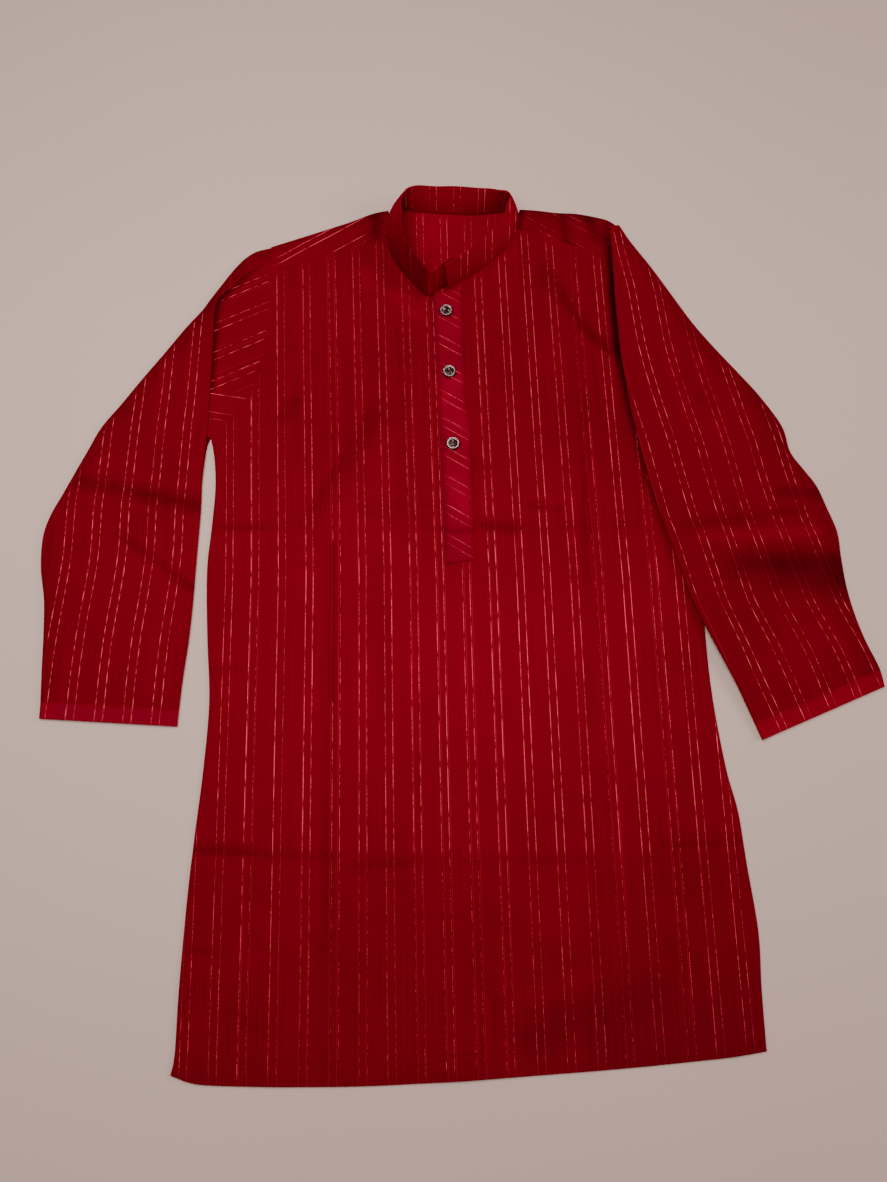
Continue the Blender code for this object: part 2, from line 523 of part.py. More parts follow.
def placket(name, lift, top_run, inset, cell, colour):
    left = smooth_curve(PLACKET_LEFT, OUTLINE_STEP)
    right = smooth_curve(PLACKET_RIGHT, OUTLINE_STEP)
    left = [(p.x + inset, p.y) for p in left]
    right = [(p.x - inset, p.y) for p in right]
    low = (min(p[1] for p in left) + inset)
    left = [(x, max(y, low)) for x, y in left if y < top_run[0][1]]
    right = [(x, max(y, low)) for x, y in right if y < top_run[-1][1]]
    outline = join([left[0], right[0]], right[1:], top_run[::-1], left[::-1][:-1])
    return panel(name, outline, lambda x, y: (x, y, FRONT_LAYER + lift), cell=cell, colour=colour)


def left_sleeve():
    """Strip rolled from the tuck's fold edge over the top, round the outer edge and back under.

    Above the gusset the head of the sleeve is a second run of columns, from the armhole seam to
    just under the fold edge. Where the tuck has run out the two runs share their points.
    """
    rows = []
    heads = []
    cuff_y = LEFT_SLEEVE[0].y_inner
    for j, r in enumerate(LEFT_SLEEVE):
        edge = r.edge_height
        tucked = j < TUCK_END
        outer_top = min(SLEEVE_OUTER_TOP, edge)
        radius = (outer_top - BACK_LAYER) / 2
        inner = Vector((r.fold, r.y_inner))
        across = Vector((r.outer, r.y_outer)) - inner
        width = across.length
        across.normalize()

        def at(s, z):
            """A point on this section, which tilts: s runs outwards from the fold edge."""
            p = inner + across * s
            return p.x, p.y, z

        first = WALL / 2 + FOLD_ROUND
        start = width - WALL / 2 - radius
        if tucked:
            row = [at(WALL / 2, r.lip_height), at(WALL / 2 + FOLD_ROUND * 0.3, (r.lip_height + edge) / 2)]
        else:
            row = [at(0.0001, FRONT_LAYER), at(0.0010, FRONT_LAYER)]
        for t in ACROSS_TOP:
            s = first + (start - first) * t
            x, y, _ = at(s, 0.0)
            crown = SLEEVE_CROWN * math.sin(math.pi * t) * ease(width / 0.08)
            crown *= ease((r.y_inner - cuff_y) / CUFF_FLAT)
            relief = fold_relief(x, y) * ease(t / 0.1) * ease((1 - t) / 0.1)
            row.append(at(s, edge + (outer_top - edge) * ease(t) + crown + relief))
        for angle in (45, 90, 135):
            a = math.radians(angle)
            row.append(at(start + radius * math.sin(a), BACK_LAYER + radius * (1 + math.cos(a))))
        low = Vector(at(start, BACK_LAYER))
        clear = SEAM_GAP if j >= UNDER_BODY else SEAM_GAP + WALL / 2
        seam = Vector((r.back - clear, r.y_inner, BACK_LAYER))
        for t in (0.0, 0.3, 0.6, 0.85, 1.0):
            row.append(tuple(low.lerp(seam, t)))
        rows.append(row)
        if HEAD_START <= j < len(LEFT_SLEEVE) - 1:
            end = r.fold - HEAD_UNDERLAP * ease((TUCK_END - 1 - j) / 2)
            if j >= TUCK_END - 2:
                end = r.fold + HEAD_SHORT
            a = x_at(LEFT_EDGE, r.y_inner) - 2 * SEAM_GAP
            if r.y_inner > HEAD_FREE_TOP:
                a -= (r.y_inner - HEAD_FREE_TOP) * HEAD_LEAN
            heads.append([(a + (end - a) * t, r.y_inner, FRONT_LAYER) for t in (0.0, 0.33, 0.66)]
                         + [(end, r.y_inner, FRONT_LAYER)])
    width = len(rows[0])
    verts = [p for row in rows for p in row]
    faces = []
    for j in range(len(rows) - 1):
        for i in range(width - 1):
            a = j * width + i
            faces.append((a, a + width, a + 1 + width, a + 1))
    head_index = []
    for k, head in enumerate(heads):
        j = HEAD_START + k
        index = []
        for i, p in enumerate(head):
            if i == 3 and j >= TUCK_END:
                index.append(j * width)
            else:
                index.append(len(verts))
                verts.append(p)
        head_index.append(index)
    for low, high in zip(head_index, head_index[1:]):
        for i in range(3):
            faces.append((low[i], high[i], high[i + 1], low[i + 1]))
    tip = (len(rows) - 1) * width
    faces += [(head_index[-1][i], tip, head_index[-1][i + 1]) for i in range(3)]
    return cloth_object("sleeve_left", verts, faces, WALL)


def gusset():
    return panel("gusset_left", [tuple(p) for p in GUSSET],
                 lambda x, y: (x, y, FRONT_LAYER - 0.0002), cell=0.02)


def right_sleeve():
    """Flattened tube that lies on the front, then drops to the floor beyond the side seam."""
    def lie(x, y, low, high):
        over = ease((x_at(DROP_EDGE, y) + high - x) / (high - low))
        return BACK_LAYER + (SLEEVE_OVER_FRONT - BACK_LAYER) * over

    rows = []
    for r in RIGHT_SLEEVE:
        inner = Vector((r.inner_x, r.inner_y))
        outer = Vector((r.outer_x, r.outer_y))
        across = (outer - inner).normalized()
        width = (outer - inner).length
        flat = ease((r.inner_y - RIGHT_SLEEVE[0].inner_y) / CUFF_FLAT)
        loft = CUFF_LOFT + (SLEEVE_LOFT - CUFF_LOFT) * flat

        def at(s, z):
            p = inner + across * s
            return p.x, p.y, z

        def under(s):
            p = inner + across * s
            return lie(p.x, p.y, DROP_FROM, DROP_TO[0])

        def over(s, t):
            p = inner + across * s
            crown = SLEEVE_CROWN * math.sin(math.pi * t) * ease(width / 0.08) * flat
            relief = fold_relief(p.x, p.y) * ease(t / 0.1) * ease((1 - t) / 0.1)
            return lie(p.x, p.y, DROP_FROM, DROP_TO[1]) + loft + crown + relief

        radius = loft / 2
        edge_in = radius + WALL / 2
        seam = min(UNDERARM_SEAM, width * 0.45)
        row = [at(s, under(s)) for s in (seam, (seam + edge_in) / 2, edge_in)]
        foot = under(edge_in)
        for angle in (45, 90, 135):
            a = math.radians(angle)
            row.append(at(edge_in - radius * math.sin(a), foot + radius * (1 - math.cos(a))))
        for t in ACROSS_TOP:
            s = edge_in + (width - 2 * edge_in) * t
            row.append(at(s, over(s, t)))
        far = width - edge_in
        top = over(far, 1.0)
        rad = (top - under(far)) / 2
        for angle in (45, 90, 135):
            a = math.radians(angle)
            row.append(at(far + radius * math.sin(a), top - rad * (1 - math.cos(a))))
        for t in (0.0, 0.25, 0.5, 0.75, 1.0):
            s = far + (seam + SEAM_GAP - far) * t
            row.append(at(s, under(s)))
        rows.append(row)
    return strip("sleeve_right", [row[::-1] for row in rows])


def button(name, x, y, z):
    """Round button: a raised rim round a sunk centre with two thread holes' worth of boss."""
    r = BUTTON_DIAMETER / 2
    t = BUTTON_THICKNESS
    profile = [(0.0, t * 0.45), (r * 0.58, t * 0.45), (r * 0.66, t * 0.80), (r * 0.80, t),
               (r * 0.92, t * 0.88), (r, t * 0.55), (r * 0.96, t * 0.15), (r * 0.85, 0.0), (0.0, 0.0)]
    sides = 20
    verts = [(x, y, z + profile[0][1])]
    for radius, height in profile[1:-1]:
        for k in range(sides):
            a = 2 * math.pi * k / sides
            verts.append((x + radius * math.cos(a), y + radius * math.sin(a), z + height))
    verts.append((x, y, z))
    faces = [(0, 1 + k, 1 + (k + 1) % sides) for k in range(sides)]
    rings = len(profile) - 2
    for j in range(rings - 1):
        for k in range(sides):
            a, b = 1 + j * sides + k, 1 + j * sides + (k + 1) % sides
            faces.append((a, a + sides, b + sides, b))
    last = 1 + (rings - 1) * sides
    faces += [(len(verts) - 1, last + (k + 1) % sides, last + k) for k in range(sides)]
    mesh = bpy.data.meshes.new(name)
    mesh.from_pydata(verts, [], faces)
    mesh.shade_smooth()
    mesh.materials.append(material(name + "_metal", BUTTON_GREY, 0.8, 0.3))
    ob = bpy.data.objects.new(name, mesh)
    bpy.context.collection.objects.link(ob)
    return ob


def build():
    for old in list(bpy.data.objects):
        bpy.data.objects.remove(old, do_unlink=True)
    back_panel()
    yoke()
    yoke_lining()
    front_panel()
    collar()
    under_top = [(-0.0190, UNDER_STRIP_TOP), (0.0055, UNDER_STRIP_TOP)]
    placket("placket_under", PLACKET_UNDER_LIFT, under_top, 0.0015, 0.02, CLOTH_RED)
    over_top = [(-0.0207, 0.3080), (-0.0135, 0.3083), (-0.0060, 0.3108), (0.0065, 0.3195)]
    placket("placket_top", PLACKET_TOP_LIFT, over_top, 0.0, 0.012, PLACKET_RED)
    left_sleeve()
    gusset()
    right_sleeve()
    for k, spot in enumerate(BUTTONS, 1):
        button(f"button_{k}", spot.x, spot.y, FRONT_LAYER + PLACKET_TOP_LIFT + WALL / 2 + SEAM_GAP)


build()
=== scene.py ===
import math
from collections import namedtuple

import bpy
import numpy as np
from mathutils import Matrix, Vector
from mathutils.geometry import delaunay_2d_cdt


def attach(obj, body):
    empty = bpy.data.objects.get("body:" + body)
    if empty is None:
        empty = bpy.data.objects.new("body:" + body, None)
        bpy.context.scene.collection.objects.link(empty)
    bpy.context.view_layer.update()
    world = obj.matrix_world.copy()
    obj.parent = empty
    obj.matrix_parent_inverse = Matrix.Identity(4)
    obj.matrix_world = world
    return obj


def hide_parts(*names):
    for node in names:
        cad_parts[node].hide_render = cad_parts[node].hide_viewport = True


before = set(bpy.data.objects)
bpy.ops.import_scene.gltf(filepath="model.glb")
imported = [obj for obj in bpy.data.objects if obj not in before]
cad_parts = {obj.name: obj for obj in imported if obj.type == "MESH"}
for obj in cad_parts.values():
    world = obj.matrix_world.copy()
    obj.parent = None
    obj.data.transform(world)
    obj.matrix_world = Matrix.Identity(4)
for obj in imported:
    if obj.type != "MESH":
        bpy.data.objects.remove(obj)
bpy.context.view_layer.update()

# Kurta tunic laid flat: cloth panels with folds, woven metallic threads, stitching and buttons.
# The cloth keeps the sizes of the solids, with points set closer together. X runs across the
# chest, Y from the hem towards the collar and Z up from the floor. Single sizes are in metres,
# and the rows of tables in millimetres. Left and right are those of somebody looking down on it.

# ---------------------------------------------------------------- sizes
WALL = 0.0011              # thickness of the solids, whose middle surface the shown cloth keeps
CLOTH = 0.0006             # shown thickness of one layer
SEAM_GAP = 0.0003
COLLAR_CLOTH = 0.0014
COLLAR_HEIGHT = 0.030

BACK_LAYER = CLOTH / 2
LINING_LAYER = 0.0021
FRONT_LAYER = 0.0035
FRONT_EDGE_DROP = 0.0015
FRONT_EDGE_WIDTH = 0.022
EDGE_LIP = 0.0009          # last roll of a front edge towards the back
SIDE_LIP_WIDTH = 0.004
HEM_LIP_WIDTH = 0.003
UNDERARM_Y = 0.16          # the side seams end here
SLEEVE_COVER = (-0.15, 0.012, 0.03)   # the right sleeve holds the front flat above this height, and
                           # to this distance inside its edge, easing over the last width
NECK_MIDDLE_Y = 0.35
NECK_FLAT = (0.085, 0.04)  # cloth is held flat to this radius, easing over the second width
HEM_WIDTH = 0.022          # turned-up hem of the body
CUFF_WIDTH = 0.015         # and of the sleeves
STITCH_INSET = 0.002       # from the inner edge of a hem to its stitching
PLACKET_UNDER_LIFT = 0.0015
PLACKET_TOP_LIFT = 0.0030
SLEEVE_OVER_FRONT = 0.0053
SLEEVE_LOFT = 0.0026
SLEEVE_CROWN = 0.0011
CUFF_LOFT = 0.0016         # upper above lower layer at the right cuff
CUFF_FLAT = 0.045          # length over which a sleeve flattens towards its cuff
SLEEVE_OUTER_TOP = 0.0029  # middle of the upper layer at the left sleeve's outer edge
FOLD_ROUND = 0.0014        # width of cloth that rounds the left sleeve's fold edge
DROP_FROM = 0.008          # how far beyond the side seam the right sleeve starts to drop
DROP_TO = (0.040, 0.050)   # where its lower and upper layers reach the floor

BUTTON_DIAMETER = 0.0115
BUTTON_THICKNESS = 0.0026

FINE = 0.0042              # spacing of the points of what shows
COARSE = 0.010             # and of what lies hidden
CREASE_ANGLE = math.radians(42)   # cloth folded more sharply than this shows an edge

PAIR_PITCH = 0.0245        # from one pair of metallic threads to the next
PAIR_GAP = 0.0067          # between the two threads of a pair
THREAD_WIDTH = 0.00078
THREAD_HEIGHT = 0.00007

Point = namedtuple("Point", "x y")
CollarRow = namedtuple("CollarRow", "foot_x foot_y foot_z top_x top_y")
LeftSleeveRow = namedtuple("LeftSleeveRow", "y_inner y_outer outer fold back edge_height lip_height")
RightSleeveRow = namedtuple("RightSleeveRow", "inner_x inner_y outer_x outer_y")
Fold = namedtuple("Fold", "x0 y0 x1 y1 width height")
Shade = namedtuple("Shade", "x0 y0 x1 y1 reach depth")


def table(kind, *rows):
    """Named rows in metres from rows in millimetres. A shade's depth is not a length."""
    lengths = 5 if kind is Shade else len(rows[0])
    return [kind(*(v / 1000 if k < lengths else v for k, v in enumerate(row))) for row in rows]


# side edges of the body, hem to underarm
LEFT_SIDE = table(Point,
    (-234.5, -406), (-232, -391), (-232, -341), (-230, -270), (-227, -217), (-223, -160), (-221.5, -100),
    (-227, -40), (-231, 20), (-229.5, 57), (-228, 100), (-230.5, 130), (-235, 152))
RIGHT_SIDE = table(Point,
    (254.5, -388), (254.5, -340), (255.5, -295), (250, -240), (246, -197), (239, -164), (233, -120),
    (229.5, -80), (228, -30), (228.5, 30), (230, 90), (232, 152))
# hem from left to right
HEM = table(Point,
    (-234.5, -406), (-218, -411.5), (-199, -413.5), (-143, -414.5), (-79, -414), (-11, -411), (36, -408),
    (134, -401), (214, -393.5), (254.5, -388))
# armhole seams, underarm to shoulder
LEFT_ARMHOLE = table(Point,
    (-235, 152), (-219, 171.5), (-201, 196), (-194, 210), (-188.5, 238), (-183.5, 270), (-184, 300),
    (-185, 331))
RIGHT_ARMHOLE = table(Point,
    (232, 152), (207, 177), (190, 198), (180, 220), (173, 260), (169, 300), (167, 344))
# above the underarm the sleeve that lies on the front drops to the floor beyond this line
DROP_LINE = table(Point,
    (232, 152), (231, 175), (220, 200), (205, 235), (193, 270), (185, 310), (178, 344), (174, 385))
# front seams of the yoke, from the armhole to the neck
LEFT_YOKE_SEAM = table(Point,
    (-185, 331), (-130, 350), (-72, 371))
RIGHT_YOKE_SEAM = table(Point,
    (167, 344), (125, 360), (69, 380))
# fold of the yoke over the shoulders, from side to side
SHOULDER_FOLD = table(Point,
    (-193, 359), (-158, 371.5), (-110, 389), (-70, 403.5), (0, 406), (70, 405), (107, 401), (126, 400),
    (156, 393), (165, 386))
YOKE_BACK_SEAM_Y = 0.3200
YOKE_NECK = (-0.0676, 0.0672)   # where the shoulder folds end, beside the collar
LINING_LOW_Y = 0.3050
LINING_HALF = (-0.100, 0.100)

# collar band from its upper (left) end at the centre front, round the neck, to its under end
COLLAR = table(CollarRow,
    (-6.8, 313.3, 3.1, -10, 321.5), (6, 322, 3.1, 1, 329), (25, 334, 3.1, 17.5, 342),
    (48, 355, 3.1, 37, 363), (60, 370, 3.1, 47, 376.5), (65, 385, 3.1, 52, 389),
    (65.5, 397, 3.1, 56, 399), (58.5, 403, 1.6, 51.5, 405.5), (42, 401, 0.6, 40, 408),
    (20, 399, 0.6, 20, 411), (-10, 400, 0.6, -10, 413.5), (-38, 402.5, 0.6, -34, 414),
    (-56, 405.5, 1.6, -47, 409), (-65.5, 401, 3.1, -53, 400), (-69, 383, 3.1, -53, 383),
    (-68, 366, 3.1, -52.5, 368), (-62, 347, 3.1, -50, 352), (-52, 332, 3.1, -43, 340),
    (-40, 317, 3.1, -33.5, 326), (-29, 306, 3.1, -24.5, 315), (-23.8, 306, 3.1, -21.5, 314.5),
    (-18, 313, 3.1, -17, 320), (-8.5, 317, 3.1, -11.5, 324), (3, 324.5, 3.1, -1, 331.5))

# placket strips, bottom to top
PLACKET_LEFT = table(Point,
    (-9, 25.6), (-10.5, 99), (-14, 169), (-18, 247), (-20.7, 306))
PLACKET_RIGHT = table(Point,
    (17.5, 31.1), (16, 88), (14, 158), (9.5, 200), (7, 312.5))
UNDER_STRIP_TOP = 0.3010
BUTTONS = table(Point,
    (-8.5, 286.1), (-5.5, 220.1), (-2, 144.8))

# left sleeve, cuff to shoulder: the outer edge, the inner (fold) edge and
# the back seam are x, edge_height is the middle of the cloth at the fold edge, and lip_height
# is where the cloth turned under that edge ends
LEFT_SLEEVE = table(LeftSleeveRow,
    (-123, -116, -373, -248, -248, 2.2, 1.8), (-108, -101, -373.3, -247.5, -247.5, 2.4, 1.8),
    (-80, -73, -375, -246, -246, 3, 1.8), (-44, -38, -377, -243, -243, 3.3, 1.8),
    (-10, -6, -380, -241.5, -241.5, 3.3, 1.8), (20, 24, -386, -241, -241, 3.3, 1.8),
    (48, 54, -387, -240.5, -240.5, 3.3, 1.8), (70, 75, -382, -240, -240, 3.4, 1.8),
    (88, 95, -373, -240, -240, 3.6, 1.8), (106, 120, -362, -240.5, -240.5, 4.3, 1.8),
    (128, 140, -353, -239.5, -239.5, 5.2, 2.8), (152, 164, -342, -238.5, -236, 6, 4.8),
    (173, 188, -325, -238, -218.4, 6.2, 5), (200, 213, -308, -238, -199.6, 6.3, 5.1),
    (233, 244, -286, -238, -190, 6.3, 5.1), (262, 270, -268, -238.5, -185.2, 6.2, 5),
    (284, 290, -252.5, -239, -184.2, 6.1, 4.9), (295, 300, -246.5, -237.5, -184.3, 6.1, 4.9),
    (304, 309.5, -240.5, -234, -184.5, 4.6, 3.4), (313, 320, -233.8, -226.2, -184.9, 3.6, 3.5),
    (325, 334, -224.5, -217, -185.3, 3.5, 3.5), (333, 347, -214, -206.5, -185.6, 3.5, 3.5),
    (340, 356.2, -202, -196, -186.2, 3.5, 3.5), (345, 360.8, -186, -186, -186.2, 3.5, 3.5))
HEAD_START = 13            # first row that reaches the armhole seam, above the gusset
TUCK_END = 19              # row where the tuck has run out
HEAD_UNDERLAP = 0.0036     # how far the sleeve head runs on under the tuck
HEAD_SHORT = 0.0004        # how far it stops short of the fold once the fold lies low
UNDER_BODY = 11            # first row whose underside runs on under the fold edge

# the gusset's corners, and its run under the tuck
GUSSET = table(Point,
    (-247, 156), (-235.6, 154), (-219.5, 173), (-201.6, 196.5), (-225, 198.5), (-247, 198.5))

# right sleeve, cuff to shoulder tip
RIGHT_SLEEVE = table(RightSleeveRow,
    (272, -135, 387, -87), (264.5, -116, 384, -70), (253, -88, 374, -45), (241, -63, 366.5, -19),
    (228, -35, 362, 6), (214.5, -2, 360, 33), (206, 28, 359, 58), (198.5, 53, 352, 81),
    (191, 78, 344, 104), (185, 102, 333, 121), (179, 128, 322, 139), (174, 156, 316.5, 165),
    (169, 183, 298, 196), (166, 209, 279, 221), (162.5, 240, 256, 250), (161, 268, 237, 276),
    (159.5, 300, 217, 307), (159, 330, 198, 336), (158.5, 360, 179, 364), (157, 382, 168.5, 383))
UNDERARM_SEAM = 0.030      # of the right sleeve, on its underside, in from the inner edge

# creases and soft folds of the upper layers, as ridges (+) and troughs (-)
FOLDS = table(Fold,
    # pressed across the chest
    (-224, 64, -137, 64, 12, -0.7), (-90, 76, -30, 71, 12, -0.6), (30, 64, 170, 64, 12, -0.6),
    # pressed across the skirt
    (-225, -228, -110, -236, 12, -0.9), (-85, -242, 110, -237, 12, -0.7),
    (180, -226, 242, -222, 12, -0.7),
    # pressed lengthwise
    (-117, 50, -108, -395, 14, -0.7), (121, 100, 118, -390, 14, -0.6),
    # drawn from the placket
    (-75, 175, -135, 75, 18, -0.8), (-150, 240, -170, 130, 45, 0.8),
    # drawn from the shoulder
    (90, 325, 150, 250, 16, -0.8), (60, 270, 110, 180, 45, 0.8),
    # waves of the skirt
    (-190, -330, -150, -390, 35, 1), (-30, -300, 10, -400, 50, 0.9), (60, -380, 160, -350, 30, -0.8),
    (200, -300, 225, -380, 35, 1),
    # left sleeve
    (-357, 108, -244, 86, 12, -1), (-310, 54, -246, 8, 12, -0.7), (-320, -20, -300, -90, 40, 0.8),
    # right sleeve
    (214, 55, 345, 92, 12, 1.4), (270, 30, 352, 32, 16, -1), (300, -30, 330, -70, 40, 0.8))


# finer creases, which the solids leave out
CREASES = table(Fold,
    (-228, -311, -195, -314, 6, -0.4), (-215, 20, -180, -30, 10, 0.4), (-205, 150, -150, 100, 12, 0.5),
    (-190, 205, -140, 160, 12, -0.4), (-180, 260, -120, 215, 14, 0.5), (-120, 300, -60, 250, 16, 0.5),
    (-60, 280, -45, 190, 10, -0.4), (40, 290, 35, 200, 12, 0.4), (120, 290, 105, 200, 10, 0.4),
    (135, 200, 175, 110, 14, 0.6), (150, 120, 190, 30, 12, -0.5), (60, 110, 100, 60, 10, 0.4),
    (-60, 30, -20, -30, 14, 0.4), (40, 10, 80, -60, 16, 0.4), (-190, -80, -150, -150, 16, 0.5),
    (150, -60, 200, -130, 14, 0.5), (-60, -130, -30, -200, 14, -0.4), (20, -150, 60, -210, 12, 0.4),
    (-200, -260, -160, -300, 12, 0.5), (-140, -290, -90, -340, 14, -0.5),
    (30, -290, 100, -330, 14, -0.5), (140, -270, 200, -310, 14, 0.5), (-370, 40, -330, 20, 8, -0.5),
    (-345, 75, -290, 100, 10, 0.5), (-300, 150, -255, 120, 10, 0.5), (-330, 130, -290, 175, 12, -0.5),
    (-275, 235, -250, 200, 8, 0.4), (-350, -50, -300, -60, 12, -0.4), (-290, -30, -260, -80, 10, 0.4),
    (190, 180, 240, 150, 10, 0.5), (215, 120, 270, 130, 10, -0.5), (290, 160, 250, 110, 12, 0.5),
    (180, 300, 205, 250, 10, -0.4), (240, 230, 215, 190, 10, 0.4), (250, 0, 300, -10, 10, -0.4),
    (320, 60, 345, 0, 10, 0.5), (270, -60, 310, -100, 12, 0.5), (-25, 80, -40, 130, 8, 0.3))

# ---------------------------------------------------------------- curves and fields
def smooth_spans(rows, count_in):
    """Rows of points run on smoothly through the given ones, and the place of each among them.

    count_in(k, b, c) is the number of steps from row b, which is row k, to row c.
    """
    rows = np.array(rows, float)
    padded = np.concatenate([2 * rows[:1] - rows[1:2], rows, 2 * rows[-1:] - rows[-2:-1]])
    out, place = [], []
    for k, (a, b, c, d) in enumerate(zip(padded, padded[1:], padded[2:], padded[3:])):
        count = count_in(k, b, c)
        for i in range(count):
            t = i / count
            out.append(0.5 * (2 * b + (c - a) * t + (2 * a - 5 * b + 4 * c - d) * t * t
                              + (3 * b - a - 3 * c + d) * t ** 3))
            place.append(k + t)
    return np.array(out + [rows[-1]]), np.array(place + [len(rows) - 1.0])


def smooth(points, step=0.006, spans=None):
    """Points along a smooth curve: every step or less, or the same number in each span."""
    return smooth_spans(points, lambda k, b, c: spans or max(1, math.ceil(np.linalg.norm(c - b) / step)))[0]


def ease(t):
    t = np.clip(t, 0.0, 1.0)
    return t * t * (3 - 2 * t)


def x_at(curve, y):
    return np.interp(y, curve[:, 1], curve[:, 0])


def y_at(curve, x):
    return np.interp(x, curve[:, 0], curve[:, 1])


def joined(*runs):
    """One closed outline from runs that end where the next begins."""
    out = []
    for run in runs:
        for p in run:
            if not out or math.dist(out[-1], p) > 1e-4:
                out.append((float(p[0]), float(p[1])))
    if math.dist(out[0], out[-1]) < 1e-4:
        out.pop()
    return np.array(out)


def offset(curve, distance):
    """A plane curve moved to its left."""
    d = np.gradient(np.asarray(curve, float), axis=0)
    d /= np.linalg.norm(d, axis=1)[:, None] + 1e-12
    return curve + np.stack([-d[:, 1], d[:, 0]], axis=1) * distance


def inside(outline, p):
    """Which points lie inside a closed outline."""
    odd = np.zeros(len(p), bool)
    for a, b in zip(outline, np.roll(outline, -1, axis=0)):
        crosses = (a[1] > p[:, 1]) != (b[1] > p[:, 1])
        x = (b[0] - a[0]) * (p[:, 1] - a[1]) / (b[1] - a[1] + 1e-15) + a[0]
        odd ^= crosses & (p[:, 0] < x)
    return odd


def away(lines, p):
    """Distance from each point to the nearest of some line pieces."""
    best = np.full(len(p), 1.0)
    for a, b in lines:
        d = b - a
        t = np.clip(((p - a) @ d) / (d @ d + 1e-18), 0, 1)
        best = np.minimum(best, np.linalg.norm(a + t[:, None] * d - p, axis=1))
    return best


LEFT_EDGE = np.vstack([smooth(LEFT_SIDE), smooth(LEFT_ARMHOLE)[1:]])
RIGHT_EDGE = np.vstack([smooth(RIGHT_SIDE), smooth(RIGHT_ARMHOLE)[1:]])
DROP_EDGE = np.vstack([smooth(RIGHT_SIDE), smooth(DROP_LINE)[1:]])
HEM_EDGE = smooth(HEM)
SHOULDER_LINE = smooth(SHOULDER_FOLD, 0.005)
SLEEVE_INNER = smooth([Point(r.inner_x, r.inner_y) for r in RIGHT_SLEEVE])
chance = np.random.default_rng(34)


def relief(folds, x, y, sharp):
    """Sum of some folds: pressed ones have a sharp ridge, the others a soft bump."""
    total = np.zeros(np.shape(x))
    for f in folds:
        dx, dy = f.x1 - f.x0, f.y1 - f.y0
        length = math.hypot(dx, dy)
        along = ((x - f.x0) * dx + (y - f.y0) * dy) / length
        across = np.abs((x - f.x0) * dy - (y - f.y0) * dx) / length
        past = np.maximum(np.maximum(-along, along - length), 0.0) / f.width
        near = np.clip(1 - across / f.width, 0, 1)
        shape = near ** 1.7 if sharp and f.width < 0.015 else ease(near)
        total += f.height * shape * ease(1 - past)
    return total


def scattered_wrinkles(count):
    """Small wrinkles all over the garment, most of them across the pull of the cloth."""
    out = []
    for _ in range(count):
        x, y = chance.uniform(-0.39, 0.39), chance.uniform(-0.41, 0.36)
        turn = chance.normal(0.0, 0.55) + (math.pi / 2 if chance.random() < 0.35 else 0.0)
        half = chance.uniform(0.006, 0.024)
        dx, dy = math.cos(turn) * half, math.sin(turn) * half
        out.append(Fold(x - dx, y - dy, x + dx, y + dy, chance.uniform(0.004, 0.010),
                        chance.normal(0.0, 0.00011)))
    return out


WRINKLES = scattered_wrinkles(420)
ROLLS = [(chance.uniform(0, 6.28), chance.uniform(7, 30), chance.uniform(0, 6.28)) for _ in range(9)]


def drape(x, y):
    """All the folds at a place, with the cloth's own slow unevenness."""
    slow = sum(np.sin((x * math.cos(a) + y * math.sin(a)) * f * 6.28 + p) / (4 + f)
               for a, f, p in ROLLS)
    return (relief(FOLDS, x, y, True) + relief(CREASES, x, y, False) + relief(WRINKLES, x, y, False)
            + 0.00035 * slow)


def clear_of_neck(x, y):
    """0 round the neck, where the cloth is held flat, easing to 1."""
    return ease((np.hypot(x, y - NECK_MIDDLE_Y) - NECK_FLAT[0]) / NECK_FLAT[1])


def front_height(x, y):
    """Middle of the front's cloth: level, sunk to the back at its side seams and hem."""
    to_side = np.minimum(x - x_at(LEFT_EDGE, y), x_at(RIGHT_EDGE, y) - x)
    to_hem = y - y_at(HEM_EDGE, x)
    low = ease((UNDERARM_Y - y) / 0.02)
    sink = FRONT_EDGE_DROP * np.maximum(ease(1 - to_side / FRONT_EDGE_WIDTH) * low,
                                        ease(1 - to_hem / FRONT_EDGE_WIDTH))
    lip = EDGE_LIP * np.maximum(ease(1 - to_side / SIDE_LIP_WIDTH) * low, ease(1 - to_hem / HEM_LIP_WIDTH))
    cover_y, cover, easing = SLEEVE_COVER
    free = np.where(y > cover_y, ease((x_at(SLEEVE_INNER, y) - cover - x) / easing), 1.0)
    strip_flat = np.where(y > 0.02, ease((np.abs(x) - 0.016) / 0.02), 1.0)
    height = FRONT_LAYER - sink + drape(x, y) * free * clear_of_neck(x, y) * strip_flat
    return np.maximum(height, CLOTH * 1.5 + 0.0008) - lip


def hem_step(distance, width, thick):
    """Thickness that a turned-up hem adds, with the dent of its stitching."""
    turned = ease((width - distance) / 0.0012)
    dent = ease(1 - np.abs(distance - width + STITCH_INSET) / 0.0016)
    return thick * turned - 0.00022 * dent


# ---------------------------------------------------------------- making cloth
def select_only(ob):
    bpy.ops.object.select_all(action="DESELECT")
    ob.select_set(True)
    bpy.context.view_layer.objects.active = ob


def apply_modifier(ob, name, kind, **settings):
    modifier = ob.modifiers.new(name, kind)
    for key, value in settings.items():
        setattr(modifier, key, value)
    select_only(ob)
    bpy.ops.object.modifier_apply(modifier=name)


def primitive(add, name, **sizes):
    """A new primitive, alone in the selection."""
    bpy.ops.object.select_all(action="DESELECT")
    add(**sizes)
    bpy.context.object.name = name
    return bpy.context.object


def set_down():
    """The place, turn and scale of the selected object go into its mesh."""
    bpy.ops.object.transform_apply(location=True, rotation=True, scale=True)


def carry(pieces):
    for piece in pieces:
        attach(piece, "root")


